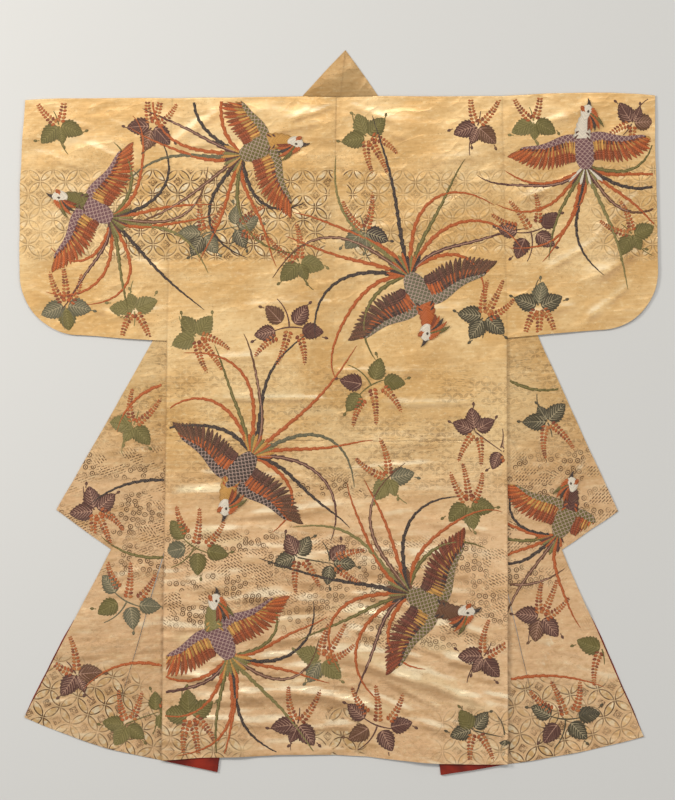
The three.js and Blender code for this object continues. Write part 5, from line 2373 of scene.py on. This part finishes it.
class BirdMaker:
    """Embroiders generic crested birds with long toothed tail plumes."""

    def __init__(self, needle: Needle, seed: int) -> None:
        """Works on one motif with a seeded source of small differences."""
        self.needle = needle
        self.draw = random.Random(seed)

    def plume(self, plume: Plume, start: Sequence[float], width: float = 10.0) -> None:
        """Lays a long tapered plume with barbed edges.

        Args:
            plume: how it runs.
            start: its root, in mm.
            width: its width, in mm.
        """
        needle = self.needle
        path = curve(start, plume.heading, plume.length, plume.bend, 2.6, plume.late, plume.sway)
        cut_at = needle.kept(path)
        if cut_at < 8:
            return
        share = along(path)
        reach = share * plume.length
        body = width / 2 * np.minimum(1, 0.62 + share * 3) * (1 - share) ** 0.6
        drift = reach + 7 * value_noise(reach / 26, reach * 0 + plume.length, 71)
        barbs = [0.58 + 0.62 * ((drift / 20 + slip) % 1.0) ** 1.3 for slip in (0.0, 0.55)]
        half = np.array([body * barb + 0.25 for barb in barbs])
        needle.strip(path[:cut_at], half[:, :cut_at], plume.dye.value, 0.7, shade=0.3, columns=4, trim=False)
        if plume.dye in (PLUM, BROWN, OLIVE) and cut_at > 30:
            middle = slice(4, int(cut_at * 0.7))
            thin = np.full(len(path[middle]), 0.8)
            needle.strip(path[middle], thin, VEINS[plume.dye].value, 0.2, 0.78, trim=False)

    def feather(self, start: Array, heading: float, length: float, width: float, bend: float,
                dye: Colour) -> None:
        """Lays one wing feather with a rounded end and darker edges.

        Args:
            start: its root, in mm.
            heading: its first direction, in degrees.
            length, width: its size, in mm.
            bend: its turn, in degrees.
            dye: its colour.
        """
        path = curve(start, heading, length, bend, length / 8)
        share = along(path)
        half = width / 2 * (0.78 + 0.30 * share) * np.sqrt(np.clip((1 - share) * 4, 0.04, 1))
        self.needle.strip(path, half, dye, 0.7, columns=4, shade=0.62)

    def wing(self, hand: int, bird: "Bird") -> None:
        """Lays a spread wing: rows of feathers from the longest to the shortest, then the netted arm.

        Args:
            hand: 1 for the bird's left, -1 for its right.
            bird: the bird.
        """
        arm = curve((16, hand * 10), hand * (50 + bird.spread), 124, hand * 62, 2.0, 0.9, hand * 26)
        root_dye, tip_dye, second_dye = bird.quills
        rows = ((root_dye, tip_dye, 46, 56, 40, 25, 8.4), (second_dye, second_dye, 31, 33, 20, 20, 8.0),
                (bird.coverts, bird.coverts, 20, 20, 10, 15, 7.4))
        for inner_dye, outer_dye, root, middle, end, count, width in rows:
            for k in range(count):
                share = k / (count - 1)
                index = int((0.03 + 0.95 * share) * (len(arm) - 2))
                forth = math.degrees(heading_at(arm, index))
                length = root + (middle - root) * math.sin(math.pi * share) + (end - root) * share
                dye = np.array(inner_dye.value) * (1 - share) + np.array(outer_dye.value) * share
                dye = tuple(dye * (1.22 if k % 2 else 0.74) * self.draw.uniform(0.90, 1.10))
                self.feather(arm[index], forth + hand * (112 - 84 * share), length, width, -hand * 14, dye)
        share = along(arm)
        half = 10.5 * (1 - share) ** 0.8 + 1.8
        self.needle.strip(arm, half, bird.body.value, 0.8, 0.3, 6, net=1.0, shade=0.25)

    def bird(self, bird: "Bird") -> None:
        """Lays a whole bird that faces +X in the motif's frame.

        Args:
            bird: its colours and pose.
        """
        needle = self.needle
        for k, plume in enumerate(bird.tail):
            across = (k / (len(bird.tail) - 1) - 0.5) * 26
            self.plume(plume, (-44 + self.draw.uniform(-3, 3), -across))
        for k in range(11):
            heading = 128 + 104 * k / 10
            dye = (bird.coverts, bird.breast, MOSS)[k % 3].value
            root = np.array([-36, 0]) + point(heading, 6)
            self.feather(root, heading, self.draw.uniform(34, 46), 9.0, 0, dye)
        for hand in (1, -1):
            self.wing(hand, bird)
        trunk = curve((-44, 0), 3, 84, -5, 3.0)
        share = along(trunk)
        half = 24 * np.sin(math.pi * (0.09 + 0.80 * share)) ** 0.7
        needle.strip(trunk, half, bird.body.value, 1.6, 0.5, 6, net=1.0, shade=0.3)
        neck = curve((22, 0), bird.bow * 0.2, 46, bird.bow, 2.0)
        share = along(neck)
        half = (19.0 - 8.0 * share) * (0.90 + 0.18 * np.abs(np.sin(share * 13)))
        needle.strip(neck, half, bird.breast.value, 1.4, 0.9, 6, shade=0.35)
        for k in range(8):
            hand, at = (-1) ** k, 3 + 2 * (k // 2)
            root = neck[at] + point(bird.bow + hand * 90, 7.0)
            ruff = curve(root, bird.bow * 0.5 + hand * 118, 15 - k, hand * 40, 2.0)
            half = 3.4 * bulge(ruff, 0.25, 0.96)
            needle.strip(ruff, half, (bird.coverts, bird.breast)[k // 2 % 2].value, 0.5, 1.5, shade=0.3)
        self.head(neck[-1], bird.bow * 1.2)

    def head(self, base: Array, heading: float) -> None:
        """Lays the head: crest, face, beak, comb, wattle and eye.

        Args:
            base: end of the neck, in mm.
            heading: where it points, in degrees.
        """
        needle, way = self.needle, math.radians(heading)
        ahead, beside = point(heading, 1.0), point(heading + 90, 1.0)
        for k, dye in enumerate((OLIVE, ORANGE, NAVY, ORANGE, RUST)):
            root = base + ahead * (10 - 2 * k) + beside * 7
            path = curve(root, heading + 98 + k * 13, 42 - 3 * k, 40, 2.5)
            half = 4.2 * bulge(path, 0.2, 0.97)
            needle.strip(path, half, dye.value, 0.7, 2.5, shade=0.3)
        face = curve(base - ahead * 6, heading, 33, 0, 2.0)
        half = 13.5 * bulge(face, 0.03, 0.97) ** 0.6
        needle.strip(face, half, WHITE.value, 1.2, 1.9, 4, shade=0.2)
        beak = curve(base + ahead * 23, heading - 4, 19, -42, 2.0)
        half = np.linspace(5.6, 0.3, len(beak))
        needle.strip(beak, half, NAVY.value, 0.8, 2.2)
        comb = curve(base + ahead * 23 + beside * 8, heading + 150, 28, -34, 1.5)
        teeth = 0.65 + 0.5 * (np.arange(len(comb)) % 3)
        half = 4.8 * bulge(comb, 0.15, 0.95) * teeth
        needle.strip(comb, half, ORANGE.value, 0.8, 2.4)
        needle.spot(base + ahead * 15 - beside * 10, 15, 10, way - 0.8, ORANGE.value, 2.4)
        needle.spot(base + ahead * 13 + beside * 2, 5.6, 4.6, way, NAVY.value, 3.3)


@dataclass(frozen=True)
class Bird:
    """A bird: place in mm, turn in degrees, size, handing, colours, pose and tail.

    Attributes:
        quills: colours of the long quills at the shoulder and at the tip, and of the row over them.
        spread: how far the wings are laid forward, in degrees.
        bow: how far the neck bends, in degrees.
    """

    x: float
    y: float
    turn: float
    size: float
    flip: int
    body: Dye
    breast: Dye
    coverts: Dye
    quills: tuple[Dye, Dye, Dye]
    spread: float
    bow: float
    where: str
    tail: tuple[Plume, ...]


def tail(start: float, end: float, length: float, curl: float, *dyes: Dye) -> tuple[Plume, ...]:
    """A fan of tail plumes between two headings, curling outwards.

    Args:
        start, end: headings of the outer plumes, in degrees.
        length: length of the longest one, in mm.
        curl: how far the outer plumes bend, in degrees.
        dyes: colours of the plumes, in order.

    Returns:
        The plumes.
    """
    plumes = []
    for k, dye in enumerate(dyes):
        share = k / (len(dyes) - 1)
        side = 2 * share - 1
        reach = length * (0.58 + 0.36 * math.sin(math.pi * (0.15 + 0.7 * share)) + 0.09 * ((k * 7) % 3 - 1))
        bend = side * curl * 1.25 + (20, 66, -58, 40, -76)[k % 5] * (1 - 0.6 * abs(side))
        sway = (16, -20, 8, -12, 22, -6, 12)[k % 7]
        late = (0.8, 1.3, 1.0, 1.6)[k % 4]
        plumes.append(Plume(dye, start + (end - start) * share, reach, bend, late, sway))
    return tuple(plumes)


WARM_TAIL = (ORANGE, PLUM, ORANGE, OLIVE, ORANGE, NAVY, ORANGE, MOSS, BROWN, ORANGE, NAVY, ORANGE, OLIVE)
DARK_TAIL = (NAVY, ORANGE, OLIVE, ORANGE, NAVY, BROWN, ORANGE, GREY_GREEN, ORANGE, PLUM, NAVY, ORANGE)
WARM_QUILLS = (RUST, ORANGE, OCHRE)
DARK_QUILLS = (PLUM, BROWN, ORANGE)
BIRDS = (
    Bird(-540, 450, 148, 1.04, 1, LAVENDER, OLIVE, PLUM, WARM_QUILLS, 4, 24, "top",
         tail(112, 250, 268, 96, *WARM_TAIL)),
    Bird(-176, 585, 26, 1.06, -1, OLIVE, OCHRE, PLUM, WARM_QUILLS, 8, 34, "top",
         tail(110, 246, 290, 84, *DARK_TAIL)),
    Bird(176, 262, -62, 1.14, 1, GREY_GREEN, ORANGE, NAVY, DARK_QUILLS, 0, -30, "top",
         tail(104, 256, 306, 104, *WARM_TAIL)),
    Bird(540, 582, 96, 1.04, -1, LAVENDER, WHITE, PLUM, WARM_QUILLS, 6, 20, "top",
         tail(112, 242, 262, 70, *WARM_TAIL[::-1])),
    Bird(-220, -130, 232, 1.12, 1, NAVY, OCHRE, ORANGE, DARK_QUILLS, 4, 30, "top",
         tail(106, 250, 290, 92, *DARK_TAIL[::-1])),
    Bird(196, -420, -28, 1.14, -1, OLIVE, BROWN, NAVY, (PLUM, RUST, OCHRE), 8, -26, "top",
         tail(108, 250, 290, 100, *WARM_TAIL)),
    Bird(-262, -500, 118, 1.10, -1, LAVENDER, MOSS, OCHRE, WARM_QUILLS, 2, 36, "top",
         tail(112, 246, 254, 88, *WARM_TAIL[::-1])),
    Bird(500, -235, 66, 1.00, 1, OLIVE, PLUM, ORANGE, WARM_QUILLS, 2, 24, "right",
         tail(112, 240, 250, 80, *DARK_TAIL)),
)
STRAYS = (
    # x, y, wing, plume: ends of plumes that come out from under the back
    (-392, 60, "left", Plume(ORANGE, 196, 150, 62)),
    (-386, -150, "left", Plume(NAVY, 176, 190, 48)),
    (-388, -320, "left", Plume(OLIVE, 186, 150, -50)),
    (-392, -560, "left", Plume(ORANGE, 164, 190, 66)),
    (378, 70, "right", Plume(OLIVE, -30, 160, 60)),
    (380, -590, "right", Plume(ORANGE, 12, 210, -34)),
    (378, -380, "right", Plume(BROWN, -6, 130, 46)),
)


@dataclass
class Embroidery:
    """All embroidered motifs of the robe."""

    floss: Material

    def make(self) -> None:
        """Lays the birds, the stray plumes and the sprays."""
        grounds = {"top": top_ground(), "left": wing_ground(LEFT), "right": wing_ground(RIGHT)}
        for k, bird in enumerate(BIRDS):
            needle = Needle(f"bird_{k + 1}", grounds[bird.where], mm_place(bird.x, bird.y),
                            math.radians(bird.turn), bird.size, bird.flip)
            BirdMaker(needle, 100 + k).bird(bird)
            needle.piece(self.floss)
        for k, (x, y, where, plume) in enumerate(STRAYS):
            needle = Needle(f"plume_{k + 1}", grounds[where], np.zeros(2))
            BirdMaker(needle, 300 + k).plume(plume, (x, y), 9.0)
            needle.piece(self.floss)
        for k, spray in enumerate(SPRAYS):
            self.spray(k, spray, grounds[spray.where])

    def spray(self, number: int, spray: Spray, ground: Ground) -> None:
        """Lays one leaf spray.

        Args:
            number: its number, for its name and its small differences.
            spray: where and how it grows.
            ground: silk that it lies on.
        """
        needle = Needle(f"spray_{number + 1}", ground, mm_place(spray.x, spray.y),
                        math.radians(spray.turn), spray.size * SPRAY_SCALE, spray.flip)
        gardener = Gardener(needle, 400 + number)
        for heading, length, bend, start in spray.form.twigs:
            gardener.twig(start, heading, length, bend, spray.first)
        for heading, length, bend, start in spray.form.spikes:
            gardener.spike(start, heading, length, bend)
        for k, (heading, length, width, start) in enumerate(spray.form.leaves):
            gardener.leaf(start, heading, length, width, spray.second if k % 3 == 1 else spray.first)
        needle.piece(self.floss)


# ---- stage ----
@dataclass
class Studio:
    """Pale floor, soft lights and the camera straight above."""

    view_centre: tuple[float, float] = (-3.3 * MM, 27.2 * MM)
    view_height: float = 1.768
    distance: float = 5.2
    sensor: float = 36.0

    def make(self) -> None:
        """Builds the floor, the world, the lights and the camera."""
        self.floor()
        world = bpy.data.worlds.new("room")
        world.use_nodes = True
        background = world.node_tree.nodes["Background"]
        background.inputs["Color"].default_value = (0.97, 0.98, 1.0, 1)
        background.inputs["Strength"].default_value = 0.40
        bpy.context.scene.world = world
        bpy.context.scene.view_settings.view_transform = "Standard"
        self.lamp("key", (-3.7, 1.5, 2.5), 1.1, 1.1, 140)
        self.lamp("strip", (0.1, 3.3, 4.4), 3.4, 0.5, 92)
        self.lamp("fill", (2.6, -1.4, 3.2), 1.6, 1.6, 30)
        self.camera()

    def floor(self) -> None:
        """Lays a plain pale floor."""
        bm = bmesh.new()
        bmesh.ops.create_grid(bm, x_segments=1, y_segments=1, size=6)
        pale, _, _ = principled("pale_floor", Roughness=0.85, Base_Color=(0.62, 0.62, 0.60, 1))
        floor = put("floor", end_mesh(bm, "floor", pale))

    def lamp(self, name: str, place: tuple[float, float, float], width: float, depth: float,
             power: float) -> None:
        """Hangs a soft oblong light that faces the robe's middle.

        Args:
            name: name of the light.
            place: where it hangs, in metres.
            width, depth: its size, in metres.
            power: its power, in watts.
        """
        light = bpy.data.lights.new(name, "AREA")
        light.shape = "RECTANGLE"
        light.size = width
        light.size_y = depth
        light.energy = power
        light.color = (1.0, 0.955, 0.90)
        lamp = put(name, light)
        lamp.location = place
        lamp.rotation_euler = (-Vector(place)).to_track_quat("-Z", "Y").to_euler()

    def camera(self) -> None:
        """Sets the camera straight above, framed as the robe is seen."""
        data = bpy.data.cameras.new("camera")
        data.sensor_width = self.sensor
        data.lens = self.sensor * self.distance / self.view_height
        camera = put("camera", data)
        camera.location = (*self.view_centre, self.distance)
        bpy.context.scene.camera = camera


def main() -> None:
    """Builds the robe, its embroidery and the stage."""
    logging.basicConfig(level=logging.INFO, format="%(name)s %(message)s")
    finishes = make_finishes()
    Studio().make()
    for side in SIDES:
        BodyLength(side, finishes).make()
        Overlap(side, finishes).make()
        Sleeve(side, finishes).make()
        CollarHalf(side, finishes).make()
        LiningBand(side, finishes).make()
    Embroidery(finishes.floss).make()


if __name__ == "__main__":
    main()
